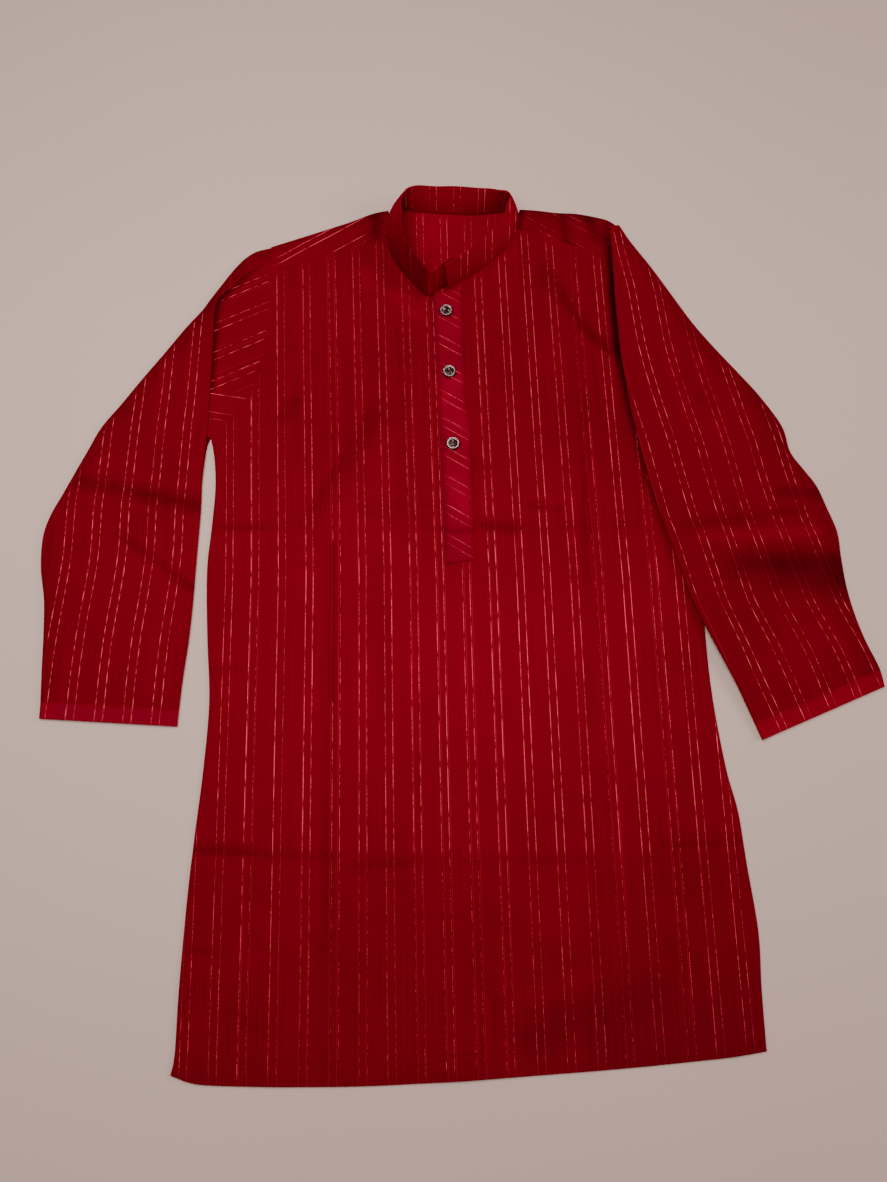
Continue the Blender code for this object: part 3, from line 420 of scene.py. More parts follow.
def mesh_object(name, points, faces, mat):
    mesh = bpy.data.meshes.new(name)
    mesh.from_pydata([tuple(map(float, p)) for p in points], [], [tuple(map(int, f)) for f in faces])
    mesh.shade_smooth()
    mesh.materials.append(mat)
    ob = bpy.data.objects.new(name, mesh)
    bpy.context.collection.objects.link(ob)
    return ob


def write_point_value(mesh, name, values):
    layer = mesh.attributes.new(name, "FLOAT", "POINT")
    layer.data.foreach_set("value", np.asarray(values, np.float32))


def write_uv(mesh, uv):
    layer = mesh.uv_layers.new(name="cloth")
    index = np.empty(len(mesh.loops), np.int32)
    mesh.loops.foreach_get("vertex_index", index)
    layer.data.foreach_set("uv", np.asarray(uv, np.float32)[index].ravel())


def cloth(name, points, faces, uv, painted_light_and_dye, mat, wall=CLOTH):
    """Cloth on a middle surface: its cut in metres as its UV map, and its painted light and shade, with the
    cuffs' colour, as a point value.
    """
    ob = mesh_object(name, points, faces, mat)
    write_uv(ob.data, uv)
    write_point_value(ob.data, "painted_light_and_dye", painted_light_and_dye)
    apply_modifier(ob, "wall", "SOLIDIFY", thickness=wall, offset=0.0)
    bpy.ops.object.shade_smooth_by_angle(angle=CREASE_ANGLE)
    return ob


def panel(name, outline, place, cut, mat, painted_light_and_dye=None, cell=FINE, creases=()):
    """Cloth cut to an outline. place gives where each point lies, cut its place on the cloth."""
    points = [outline]
    edges = [(k, (k + 1) % len(outline)) for k in range(len(outline))]
    count = len(outline)
    for line in creases:
        points.append(line)
        edges += [(count + k, count + k + 1) for k in range(len(line) - 1)]
        count += len(line)
    fixed = np.vstack(points)
    lines = [(fixed[a], fixed[b]) for a, b in edges]
    low, high = outline.min(axis=0), outline.max(axis=0)
    rows = np.arange(low[1], high[1], cell * 0.87)
    grid = np.array([(x + 0.5 * cell * (j % 2), y) for j, y in enumerate(rows)
                     for x in np.arange(low[0], high[0], cell)])
    grid = grid[inside(outline, grid)]
    grid = grid[away(lines, grid) > 0.5 * cell]
    flat = np.vstack([fixed, grid])
    made = delaunay_2d_cdt([Vector(p) for p in flat], edges, [], 1, 1e-7)
    flat = np.array([tuple(p) for p in made[0]])
    placed = place(flat[:, 0], flat[:, 1])
    # 0.5 is the plain red, with no painted light or shade
    shade = np.full(len(flat), 0.5) if painted_light_and_dye is None else painted_light_and_dye(placed[:, 0], placed[:, 1])
    return cloth(name, placed, made[2], np.stack(cut(flat[:, 0], flat[:, 1]), axis=1), shade, mat)


def grid_faces(rows, width, flip=False):
    faces = []
    for j in range(rows - 1):
        for i in range(width - 1):
            a = j * width + i
            face = (a, a + 1, a + 1 + width, a + width)
            faces.append(face[::-1] if flip else face)
    return faces


# ---------------------------------------------------------------- threads and stitches
def dashes(run, longest, shortest, gap):
    """Start and end of each dash along a run, and how far along it each of its points is."""
    steps = np.linalg.norm(np.diff(run, axis=0), axis=1)
    total = steps.sum()
    at = chance.uniform(0, gap)
    out = []
    while at < total - shortest * 0.6:
        end = min(at + chance.uniform(shortest, longest), total)
        out.append((at, end))
        at = end + chance.uniform(0.4, 1.6) * gap
    return out, np.concatenate([[0.0], np.cumsum(steps)])


def raised_lines(name, runs, mat, width, height, longest, shortest, gap, section=0.006, lift=0.00002):
    """Thin raised dashes along runs of points that lie on cloth.

    A run is its points, the way that is up from the cloth, and how bright its dashes are.
    """
    points, faces, glints = [], [], []
    for run, up, bright in runs:
        run = np.asarray(run, float)
        up = np.broadcast_to(np.asarray(up, float), run.shape)
        if len(run) < 2:
            continue
        cuts, marks = dashes(run, longest, shortest, gap)
        for start, end in cuts:
            count = max(2, math.ceil((end - start) / section) + 1)
            s = np.linspace(start, end, count)
            p = np.stack([np.interp(s, marks, run[:, k]) for k in range(3)], axis=1)
            n = np.stack([np.interp(s, marks, up[:, k]) for k in range(3)], axis=1)
            ahead = np.gradient(p, axis=0)
            side = np.cross(n, ahead)
            side /= np.linalg.norm(side, axis=1)[:, None] + 1e-12
            wide = np.full(count, width / 2) * chance.uniform(0.8, 1.1)
            wide[[0, -1]] *= 0.45
            first = len(points)
            for q, up_q, side_q, w in zip(p + n * lift, n, side, wide):
                points += [q + side_q * w, q + up_q * height, q - side_q * w]
            for k in range(count - 1):
                a = first + 3 * k
                faces += [(a, a + 3, a + 4, a + 1), (a + 1, a + 4, a + 5, a + 2), (a + 2, a + 5, a + 3, a)]
            last = first + 3 * (count - 1)
            faces += [(first, first + 1, first + 2), (last + 2, last + 1, last)]
            # each dash gets its own painted glint, how bright it shows
            glints += [float(np.clip(bright * chance.uniform(0.45, 1.35), 0, 1))] * (3 * count)
    ob = mesh_object(name, points, faces, mat)
    write_point_value(ob.data, "glint", glints)
    return ob


def threads(name, runs, longest=0.046, shortest=0.008, gap=0.0012):
    return raised_lines(name, runs, THREAD_METAL, THREAD_WIDTH, THREAD_HEIGHT, longest, shortest, gap)


def stitches(name, runs):
    """Small even stitches of sewing thread."""
    return raised_lines(name, runs, SEWING_THREAD, 0.0004, 0.00022, 0.0023, 0.0021, 0.0006, 0.0012)


def pair_lines(low, high, pitch=PAIR_PITCH, gap=PAIR_GAP, start=0.0, nudges=(), faint=()):
    """Places across the cloth of both threads of each pair between low and high.

    nudges moves the pairs from number 0 on, in mm. faint names threads as (pair, side).
    """
    first = math.ceil((low - start) / pitch)
    last = math.floor((high - start) / pitch)
    out = []
    for k in range(first, last + 1):
        middle = start + k * pitch + chance.normal(0, 0.0002)
        if 0 <= k < len(nudges):
            middle += nudges[k] * 0.001
        bright = chance.uniform(0.5, 1.0)
        for side in (-1, 1):
            dim = 0.25 if (k, side) in faint else 1.0
            out.append((middle + side * gap / 2, bright * dim * chance.uniform(0.7, 1.0)))
    return out


# ---------------------------------------------------------------- materials
class Finish:
    """A new material, and short ways to add its shader nodes. A source is a socket or a value."""

    def __init__(self, name):
        self.material = bpy.data.materials.new(name)
        self.material.use_nodes = True
        self.tree = self.material.node_tree

    def add(self, kind, **settings):
        made = self.tree.nodes.new("ShaderNode" + kind)
        column, row = divmod(len(self.tree.nodes), 5)
        made.location = (-220 * column - 300, 500 - 240 * row)
        for key, value in settings.items():
            setattr(made, key, value)
        return made

    def feed(self, socket, source):
        if hasattr(source, "links"):
            self.tree.links.new(source, socket)
        else:
            socket.default_value = source

    def math(self, operation, *sources, clamp=False):
        made = self.add("Math", operation=operation, use_clamp=clamp)
        for socket, source in zip(made.inputs, sources):
            self.feed(socket, source)
        return made.outputs[0]

    def centred(self, source, strength):
        """A noise turned to lie round 0, and made weaker or stronger."""
        return self.math("MULTIPLY", self.math("SUBTRACT", source, 0.5), strength)

    def value_on_piece(self, name):
        return self.add("Attribute", attribute_name=name).outputs["Fac"]

    def noise(self, scale, detail, distortion=0.0, place=None):
        """Noise at a place, or over the piece's own coordinates."""
        made = self.add("TexNoise")
        self.feed(made.inputs["Vector"], place or self.add("TexCoord").outputs["Object"])
        for name, value in (("Scale", scale), ("Detail", detail), ("Distortion", distortion)):
            made.inputs[name].default_value = value
        return made.outputs[0]

    def ramp(self, source, *colours):
        """Colours at places from 0 to 1, picked by the source."""
        made = self.add("ValToRGB")
        marks = made.color_ramp.elements
        while len(marks) < len(colours):
            marks.new(0.5)
        for mark, (place, colour) in zip(marks, colours):
            mark.position = place
            mark.color = (*colour, 1)
        self.feed(made.inputs[0], source)
        return made.outputs[0]

    def finish(self, **sockets):
        """Set the shader's sockets, named with _ for a space, and give the material."""
        shader = self.tree.nodes["Principled BSDF"]
        for name, source in sockets.items():
            self.feed(shader.inputs[name.replace("_", " ")], source)
        return self.material


CUFF_RED = (0.180, 0.004, 0.0145)
PAINTED_THREAD = (0.42, 0.022, 0.034, 1.0)
PAINTED_WIDTH = 0.00042
WEAVE_STEP = 0.0007        # from one yarn of the weave to the next but one


def crimson_cloth(name, red, mottle=0.22, pitch=PAIR_PITCH):
    """Fine plain weave in crimson silk and cotton, with pairs of metallic warp threads.

    The cut's own map is in metres, u across the warp. The point value of painted light and
    shade, with the cuffs' colour, picks the colour: 0.5 gives the red itself, 0 a painted
    shade as dark as a deep fold, 0.74 a painted light nearly half as strong again, and 1 the
    bluer cloth of the cuffs.
    """
    f = Finish(name)
    split = f.add("SeparateXYZ")
    f.feed(split.inputs[0], f.add("UVMap", uv_map="cloth").outputs[0])
    u, v = split.outputs[:2]

    # slubs, as long thin streaks along both ways of the weave, and a slow bloom
    # the sum starts from the pieces' painted light and shade, with the cuffs' colour
    total = f.value_on_piece("painted_light_and_dye")
    slubs = []
    for across, along_warp, strength in ((520.0, 7.0, 0.27), (9.0, 420.0, 0.10)):
        stretched = f.add("CombineXYZ")
        f.feed(stretched.inputs[0], f.math("MULTIPLY", u, across))
        f.feed(stretched.inputs[1], f.math("MULTIPLY", v, along_warp))
        slubs.append(f.noise(1.0, 2.0, place=stretched.outputs[0]))
        total = f.math("ADD", total, f.centred(slubs[-1], strength))
    total = f.math("ADD", total, f.centred(f.noise(9.0, 3.0), mottle), clamp=True)
    # the ramp turns painted shade and light into darker and lighter red, and the cuffs into their bluer cloth
    dye_and_painted_light = f.ramp(total, (0.0, tuple(0.06 * c for c in red)), (0.25, tuple(0.55 * c for c in red)),
                  (0.5, red), (0.74, tuple(1.40 * c for c in red)), (1.0, CUFF_RED))

    # where a metallic thread dips below the weave it still shows as a thin pale line, fainter where the cloth
    # has painted shade
    turns = f.math("DIVIDE", u, pitch)
    near = f.math("ABSOLUTE", f.math("SUBTRACT", turns, f.math("ROUND", turns)))
    off = f.math("ABSOLUTE", f.math("SUBTRACT", near, PAIR_GAP / 2 / pitch))
    line = f.math("SUBTRACT", 1.0, f.math("MULTIPLY", off, pitch / PAINTED_WIDTH), clamp=True)
    mix = f.add("Mix", data_type="RGBA")
    f.feed(mix.inputs[0], f.math("MULTIPLY", line, total))
    f.feed(mix.inputs[6], dye_and_painted_light)
    f.feed(mix.inputs[7], PAINTED_THREAD)

    # the weave itself
    warp, weft = (f.math("SINE", f.math("MULTIPLY", way, 6.283 / WEAVE_STEP)) for way in (u, v))
    rough = f.math("ADD", f.math("MULTIPLY", f.math("MULTIPLY", warp, weft), 0.5),
                   f.math("MULTIPLY", slubs[0], 1.6))
    bump = f.add("Bump")
    for name, source in (("Strength", 0.3), ("Distance", 0.00005), ("Height", rough)):
        f.feed(bump.inputs[name], source)
    return f.finish(Base_Color=mix.outputs[2], Normal=bump.outputs[0], Roughness=0.70,
                    Specular_IOR_Level=0.008, Sheen_Weight=0.035, Sheen_Roughness=0.45,
                    Sheen_Tint=(1.0, 0.02, 0.10, 1.0))


def metal_thread():
    """Flat rose-gold strip wound on a core, with painted glints: each dash's glint value and a fine noise
    make it brighter or darker.
    """
    f = Finish("rose_gold_thread")
    glint = f.math("ADD", f.value_on_piece("glint"), f.centred(f.noise(420.0, 2.0), 1.5), clamp=True)
    colour = f.ramp(glint, (0.0, (0.18, 0.004, 0.008)), (0.28, (0.42, 0.024, 0.038)),
                    (0.60, (0.85, 0.056, 0.090)), (1.0, (1.0, 0.112, 0.160)))
    return f.finish(Base_Color=colour, Metallic=0.35, Roughness=0.42, Specular_IOR_Level=0.05)


def plain_thread():
    f = Finish("crimson_sewing_thread")
    colour = f.ramp(f.noise(500.0, 2.0), (0.0, (0.06, 0.0, 0.001)), (1.0, (0.17, 0.001, 0.008)))
    return f.finish(Base_Color=colour, Roughness=0.6, Specular_IOR_Level=0.2)


def rim_metal_and_glints():
    """Pink silver, flecked dark and bright by a fine noise as painted glints."""
    f = Finish("button_rim_metal_and_glints")
    colour = f.ramp(f.noise(900.0, 3.0), (0.38, (0.14, 0.10, 0.085)), (0.62, (0.80, 0.66, 0.58)))
    return f.finish(Base_Color=colour, Metallic=1.0, Roughness=0.30)


# dark pearl, with small bright flecks from the noise as painted glints
def pearl_and_glints():
    f = Finish("button_pearl_and_glints")
    colour = f.ramp(f.noise(420.0, 4.0, distortion=1.5), (0.0, (0.003, 0.001, 0.001)),
                    (0.56, (0.030, 0.006, 0.005)), (0.64, (0.42, 0.32, 0.29)))
    return f.finish(Base_Color=colour, Roughness=0.35, Specular_IOR_Level=0.04)


def floor_paint():
    f = Finish("pale_floor")
    colour = f.ramp(f.noise(3.0, 2.0), (0.0, (0.640, 0.441, 0.375)), (1.0, (0.680, 0.469, 0.400)))
    return f.finish(Base_Color=colour, Roughness=0.75)


RED = (0.168, 0.0, 0.0082)
CLOTH_RED = crimson_cloth("crimson_stripe_cloth", RED)
# the bias strip's cloth is bluer and more mottled, and its lighter red is painted sheen
BIAS_RED_AND_SHEEN = crimson_cloth("crimson_bias_cloth_and_sheen", (0.205, 0.0006, 0.0125), mottle=0.55)
THREAD_METAL = metal_thread()
SEWING_THREAD = plain_thread()
RIM_METAL_AND_GLINTS, PEARL_AND_GLINTS = rim_metal_and_glints(), pearl_and_glints()

# ---------------------------------------------------------------- the cloth's cut
FRONT_PAIRS_AT = -0.2092   # the first pair of threads on the front, at FRONT_PAIRS_Y
FRONT_PAIRS_Y = 0.016
SKIRT_LEAN = 0.0225        # the warp's lean below that height, and above it
CHEST_LEAN = 0.037


def warp_shift(x, y):
    """How far the warp has leaned over at a place."""
    up = np.maximum(y - FRONT_PAIRS_Y, 0)
    down = np.maximum(FRONT_PAIRS_Y - y, 0)
    lean = CHEST_LEAN + 0.09 * np.maximum(-x - 0.05, 0) + 0.06 * np.maximum(x - 0.06, 0)
    return up * lean - down * SKIRT_LEAN


def body_cut(x, y):
    return x + warp_shift(x, y) - FRONT_PAIRS_AT, y


def body_x(u, y):
    """Where the warp line u of the body lies at a height."""
    x = u + FRONT_PAIRS_AT + 0 * y
    for _ in range(4):
        x = u + FRONT_PAIRS_AT - warp_shift(x, y)
    return x


# one thread line of each sleeve, cuff to shoulder
LEFT_WARP = smooth(table(Point,
    (-320, -130), (-319.3, -117.4), (-316.5, -47.8), (-312.5, 0.8), (-310.3, 39.1), (-311.2, 82.3),
    (-309.8, 114.4), (-308.5, 162.5), (-306.9, 200), (-306, 280), (-305, 370)))
RIGHT_WARP = smooth(table(Point,
    (290, -136), (287.7, -124.3), (268.5, -75.4), (257.3, -45.8), (241.9, -8.6), (233.8, 22.1),
    (225.9, 52.3), (219.5, 72), (210, 115), (203.1, 148.4), (193.7, 184.6), (181.6, 240.4),
    (176.3, 281.2), (172.8, 311.8), (164.8, 354.2), (160, 390)))
SLEEVE_PITCH = 0.0256


def along(curve, y):
    """Cosine of a warp line's lean, which turns sideways distance into distance across the warp."""
    slope = np.gradient(curve[:, 0], curve[:, 1])
    slope = np.convolve(np.pad(slope, 8, mode="edge"), np.ones(17) / 17, mode="valid")
    return 1 / np.sqrt(1 + np.interp(y, curve[:, 1], slope) ** 2)


def sleeve_cut(curve, shift):
    def cut(x, y):
        return (x - x_at(curve, y)) * along(curve, y) + shift, y
    return cut


def turned_cut(turn, pair_at):
    """A cut whose stripes fall by a turn towards the right.

    Pair 0 lies pair_at from the middle of the garment, measured across the stripes.
    """
    def cut(x, y):
        return x * math.sin(turn) + y * math.cos(turn) - pair_at, x
    return cut


def turned_line(turn, pair_at, u, x):
    """Height of the warp line u of such a cut."""
    return (u + pair_at - x * math.sin(turn)) / math.cos(turn)


left_cut = sleeve_cut(LEFT_WARP, 0.0)
right_cut = sleeve_cut(RIGHT_WARP, -PAIR_GAP / 2)
HEAD_TURN = (math.radians(-25), 0.3455)   # head of the left sleeve
GUSSET_TURN = (math.radians(9), 0.1366)
STRIP_TURN = (math.radians(31), 0.162)
HEAD_PITCH = 0.0285
GUSSET_PITCH = 0.0258
LEFT_SLEEVE_GAP = 0.0078
STRIP_GAP = 0.0080


# ---------------------------------------------------------------- how painted light and shade lie over the garment
def near_line(x, y, x0, y0, x1, y1, reach):
    """1 on a line, easing to 0 at the reach."""
    d = np.array([x1 - x0, y1 - y0])
    t = np.clip(((x - x0) * d[0] + (y - y0) * d[1]) / (d @ d), 0, 1)
    return ease(1 - np.hypot(x0 + t * d[0] - x, y0 + t * d[1] - y) / reach)


# painted shade in the hollows (-) and painted light (+) on the cloth beside its folds and creases
FRONT_SHADES = table(Shade,
    (-165, 175, -155, 190, 14, -0.08), (-137, 225, -134, 238, 10, -0.04),
    (-78, 187, -96, 150, 13, -0.03), (-108, 132, -139, 72, 7, -0.06), (-216, 61, -179, 60, 5, -0.12),
    (-85, 81, -52, 86, 8, -0.05), (-52, 86, -14, 83, 9, -0.05), (-33, 62, -5, 62, 7, -0.04),
    (10, 66, 56, 60, 10, -0.13), (56, 59, 98, 54, 7, -0.04), (71, 83, 99, 80, 6, -0.12),
    (14, 128, 31, 120, 14, -0.06), (8, 183, 20, 187, 7, -0.05), (125, 192, 122, 50, 8, -0.06),
    (-114, 45, -111, -100, 5, -0.12), (-115, -100, -108, -409, 6, -0.04),
    (-69, 31, -62, -135, 13, -0.07), (-135, 70, -120, 2, 4, -0.03), (-51, 192, -47, 89, 8, -0.04),
    (92, 340, 125, 273, 8, -0.07), (125, 273, 153, 243, 9, -0.12), (-90, 332, -85, 317, 13, 0.11),
    (-57, 304, -35, 284, 16, 0.11), (-228, -229, -178, -231, 5, -0.11),
    (-178, -232, -135, -235, 5, -0.03), (-96, -244, -81, -247, 8, -0.03),
    (-79, -237, -36, -237, 5, -0.03), (29, -245, 50, -245, 9, -0.04), (189, -227, 245, -222, 5, -0.04),
    (-222, -72, -195, -71, 5, -0.09), (-233, -310, -195, -312, 6, -0.06),
    (-226, -348, -214, -341, 14, -0.05), (-188, -356, -162, -371, 11, -0.04),
    (15, -321, 40, -360, 6, -0.04), (44, -379, 85, -376, 11, -0.03), (73, -364, 119, -358, 8, -0.02),
    (61, -345, 120, -325, 14, 0.05), (28, -321, 44, -337, 6, 0.03), (124, -317, 145, -348, 18, -0.03),
    (40, 330, 62, 355, 8, 0.06))
YOKE_SHADES = table(Shade,
    (67, 402, 64, 374, 7, -0.3), (110, 402, 114, 366, 9, -0.19), (134, 400, 148, 369, 11, -0.2),
    (94, 371, 96, 362, 8, 0.2), (-80, 395, -78, 345, 12, -0.24))
SLEEVE_SHADES = table(Shade,
    (-357, 108, -244, 86, 16, -0.08), (-308, 50, -269, 22, 6, -0.09), (-266, 19, -242, 2, 7, -0.13),
    (238, 193, 252, 181, 9, -0.06), (229, 52, 341, 59, 10, 0.12), (259, 24, 301, 24, 24, -0.12),
    (301, 23, 352, 15, 33, -0.22), (214, 62, 330, 80, 8, -0.08), (308, 98, 345, 95, 10, -0.15),
    (-300, 95, -241, 81, 13, -0.14))
PLACKET_SHADES = table(Shade,
    (-10, 58, 16, 58, 5, -0.14), (-4, 110, 10, 80, 12, 0.1), (-10, 190, 4, 210, 14, 0.1),
    (-12, 150, 8, 138, 14, -0.08))
LEFT_OUTER = smooth([Point(r.outer, r.y_outer) for r in LEFT_SLEEVE])
RIGHT_OUTER = smooth([Point(r.outer_x, r.outer_y) for r in RIGHT_SLEEVE])


def shading(shades, x, y):
    """The strongest painted shade and the strongest painted light at a place."""
    values = np.array([s.depth * near_line(x, y, *s[:5]) for s in shades])
    return np.minimum(values, 0).min(axis=0) + np.maximum(values, 0).max(axis=0)


def sleeve_edge_shadow(x, y):
    """Painted shadow along the inner edge of the sleeve that lies on the front."""
    depth = np.interp(y, (0.03, 0.065, 0.14, 0.19, 0.24, 0.36, 0.382, 0.392),
                      (0, 0.16, 0.30, 0.34, 0.46, 0.44, 0.16, 0))
    width = np.interp(y, (0.06, 0.2, 0.25, 0.33, 0.375), (0.003, 0.005, 0.0085, 0.0095, 0.008))
    return -depth * ease(1 - (x_at(SLEEVE_INNER, y) - x) / width)


def fold_painted_shade(x, y):
    """Painted shade in the troughs of the folds, by their depth in metres."""
    return 90 * np.minimum(relief(FOLDS, x, y, True), 0)


def body_painted_light(x, y):
    """Painted light brightest in the middle of the skirt, darker towards the right, the chest, the hem and
    the sides, with painted shade in folds, hollows and along the right sleeve's edge.
    """
    middle = np.exp(-(x / 0.22) ** 2 - ((y + 0.08) / 0.16) ** 2)
    right = ease((x - 0.08) / 0.12) * (0.015 + 0.045 * ease((y - 0.08) / 0.10)
                                       + 0.05 * ease((-0.20 - y) / 0.06))
    painted_light_and_dye = 0.52 - 0.03 * ease((y - 0.08) / 0.10) + 0.15 * middle - 0.01 * ease((-0.225 - y) / 0.03) - right
    return painted_light_and_dye + fold_painted_shade(x, y) + shading(FRONT_SHADES, x, y) + sleeve_edge_shadow(x, y)


LEFT_CUFF_TILT = 0.056     # rise of the left cuff's edge for each metre outwards
RIGHT_CUFF_TILT = ((RIGHT_SLEEVE[0].outer_y - RIGHT_SLEEVE[0].inner_y)
                   / (RIGHT_SLEEVE[0].outer_x - RIGHT_SLEEVE[0].inner_x))


def from_left_cuff(x, y):
    """How far up its sleeve a place lies from the cuff's edge."""
    first = LEFT_SLEEVE[0]
    return y - first.y_inner + (x - first.fold) * LEFT_CUFF_TILT


def from_right_cuff(x, y):
    first = RIGHT_SLEEVE[0]
    return (y - first.inner_y - (x - first.inner_x) * RIGHT_CUFF_TILT) * math.cos(math.atan(RIGHT_CUFF_TILT))


def sleeve_painted_light_and_cuffs(x, y):
    """Painted shade towards the outer edges, on the right sleeve and high on the left one, and in folds and
    hollows, with the paler, bluer cloth of the turned-up cuffs.
    """
    p = np.stack([x, y], axis=1)
    edges = [list(zip(e, e[1:])) for e in (LEFT_OUTER, RIGHT_OUTER)]
    to_edge = np.minimum(away(edges[0], p), away(edges[1], p))
    painted_light_and_dye = 0.52 - 0.10 * ease(1 - to_edge / 0.024) - 0.04 * (x > 0)
    painted_light_and_dye -= 0.06 * ease((y - 0.10) / 0.08) * (x < 0)
    from_cuff = np.where(x < 0, from_left_cuff(x, y), from_right_cuff(x, y))
    cuffs = np.where(x < 0, 0.36, 0.26) * ease((CUFF_WIDTH - from_cuff) / 0.001)
    return painted_light_and_dye + cuffs + fold_painted_shade(x, y) + shading(SLEEVE_SHADES, x, y)


# painted shade beside the shoulder fold, a little over the right shoulder, in the yoke's hollows and along
# the right sleeve's edge, with painted light from its table
def yoke_painted_shade(x, y):
    return (0.50 - 0.04 * (x > 0) - 0.12 * ease(1 - (y_at(SHOULDER_LINE, x) - y) / 0.014)
            + shading(YOKE_SHADES, x, y) + sleeve_edge_shadow(x, y))


def strip_painted_shade(x, y):
    """The bias strip, with the painted shadow each button throws round itself, a little painted shade higher
    up, and painted shade and light from its table.
    """
    button_shadow = sum(ease(1 - np.abs(np.hypot(x - b.x, y - b.y) - BUTTON_DIAMETER / 2) / 0.0016) for b in BUTTONS)
    return 0.55 - 0.04 * ease((y - 0.15) / 0.1) - 0.45 * button_shadow + shading(PLACKET_SHADES, x, y)


# ---------------------------------------------------------------- pieces
COLLAR_SPANS = 6
COLLAR_FOOT = smooth([Point(r.foot_x, r.foot_y) for r in COLLAR], spans=COLLAR_SPANS)
FEET_OUT = offset(COLLAR_FOOT, -0.0002)   # the cloth outside the collar and inside it runs up to its foot
FEET_IN = offset(COLLAR_FOOT, 0.0001)
RIGHT_NECK, LEFT_NECK = FEET_OUT[:42], FEET_OUT[76:120]


def back_neck():
    """The collar's foot across the back, from left to right."""
    return sorted((p for p in FEET_IN if p[1] > 0.39 and -0.055 < p[0] < 0.056), key=lambda p: p[0])


def neckline():
    """Front neckline, outside the collar's foot, from the left yoke seam to the right one."""
    right = [p for p in RIGHT_NECK if p[1] < 0.3790]
    left = [p for p in LEFT_NECK if p[1] < 0.3705 and p[0] < -0.0285]
    return np.array(left + [(-0.0240, 0.3035), (-0.0130, 0.3085)] + right)


FRONT_OUTLINE = joined(HEM_EDGE, RIGHT_EDGE, smooth(RIGHT_YOKE_SEAM), neckline()[::-1],
                       smooth(LEFT_YOKE_SEAM)[::-1], LEFT_EDGE[::-1])


def placket_outline(top_run, inset):
    left = smooth(PLACKET_LEFT) + (inset, 0)
    right = smooth(PLACKET_RIGHT) - (inset, 0)
    low = left[:, 1].min() + inset
    left = [(x, max(y, low)) for x, y in left if y < top_run[0][1]]
    right = [(x, max(y, low)) for x, y in right if y < top_run[-1][1]]
    return joined([left[0], right[0]], right[1:], top_run[::-1], left[::-1][:-1])


OVER_STRIP_TOP = [(-0.0207, 0.3080), (-0.0135, 0.3083), (-0.0060, 0.3108), (0.0065, 0.3195)]
STRIP_OUTLINE = placket_outline(OVER_STRIP_TOP, 0.0)
UNDER_OUTLINE = placket_outline([(-0.0190, UNDER_STRIP_TOP), (0.0055, UNDER_STRIP_TOP)], 0.0015)


def closed_lines(outline):
    return list(zip(outline, np.roll(outline, -1, axis=0)))


def hem_lines():
    """Lines along the turned-up hem, so that its step and stitching stay crisp."""
    xs = np.linspace(-0.2265, 0.2465, 115)
    return [np.stack([xs, y_at(HEM_EDGE, xs) + HEM_WIDTH - d], axis=1)
            for d in (-0.0014, 0.0002, 0.0020, 0.0038)]


def pressed_lines(outline):
    """Each pressed fold as three lines of points, so that its ridge stays sharp."""
    out = []
    for f in FOLDS:
        if f.width > 0.015:
            continue
        a, b = np.array([f.x0, f.y0]), np.array([f.x1, f.y1])
        d = (b - a) / np.linalg.norm(b - a)
        for side in (-0.0018, 0.0, 0.0018):
            count = max(2, int(np.linalg.norm(b - a) / FINE))
            line = a + np.linspace(0, 1, count)[:, None] * (b - a) + side * np.array([-d[1], d[0]])
            keep = inside(outline, line)
            keep &= away(closed_lines(outline), line) > 0.003
            if keep.all():
                out.append(line)
    return out


def at_height(x, y, z):
    return np.stack([x, y, z + np.zeros(np.shape(x))], axis=1)


def level(z):
    """A place function for cloth that lies level."""
    return lambda x, y: at_height(x, y, z)


def on_cloth(middle, bright=1.0):
    """A run for raised_lines on top of cloth that lies nearly level, from points of its middle."""
    return np.asarray(middle) + (0, 0, CLOTH / 2), (0, 0, 1), bright


def front_place(x, y):
    return at_height(x, y, front_height(x, y) + hem_step(y - y_at(HEM_EDGE, x), HEM_WIDTH, 0.00025))


def runs_along(xs, ys, outline, place, bright, clear=0.0012, hole=None):
    """The stretches of a thread line that lie inside an outline, lifted to the cloth."""
    p = np.stack([xs, ys], axis=1)
    keep = inside(outline, p)
    keep &= away(closed_lines(outline), p) > clear
    if hole is not None:
        keep &= ~inside(hole, p)
    out = []
    start = None
    for k, ok in enumerate(list(keep) + [False]):
        if ok and start is None:
            start = k
        elif not ok and start is not None:
            if k - start > 2:
                out.append(on_cloth(place(xs[start:k], ys[start:k]), bright))
            start = None
    return out


def lit(runs, shades):
    """The thread runs again, dimmer where the cloth has painted shade, and gone where that shade is deep."""
    out = []
    for run, up, bright in runs:
        run = np.asarray(run, float)
        up = np.broadcast_to(np.asarray(up, float), run.shape)
        depth = np.digitize(-shading(shades, run[:, 0], run[:, 1]), (0.05, 0.11))
        ends = [0, *(np.flatnonzero(np.diff(depth)) + 1), len(run)]
        for a, b in zip(ends, ends[1:]):
            if depth[a] < 2 and len(run[a:b + 1]) > 1:
                out.append((run[a:b + 1], up[a:b + 1], bright * (1.0, 0.5)[depth[a]]))
    return out


def give(ob, node, goes_with):
    """Carries one piece of cloth, with its threads and stitches, on the root, and hides the solid it stands
    for.
    """
    carry([ob] + goes_with)
    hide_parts(node)


# how far each pair of the front's threads lies off its even place, in mm
FRONT_NUDGES = (0, -0.7, -0.5, 1.0, 0.9, 0.5, -0.8, -1.3, -1.7, -1.7, -1.2, -0.4, -0.2, 0.7, -0.9, -0.5, 1.0)
FAINT_THREADS = ((1, 1), (2, 1), (14, -1))
# the front's threads are duller below the low pressed fold and above the high one
THREAD_BANDS = ((-0.414, -0.234, 0.34), (-0.234, 0.060, 1.0), (0.060, 0.3800, 0.68))


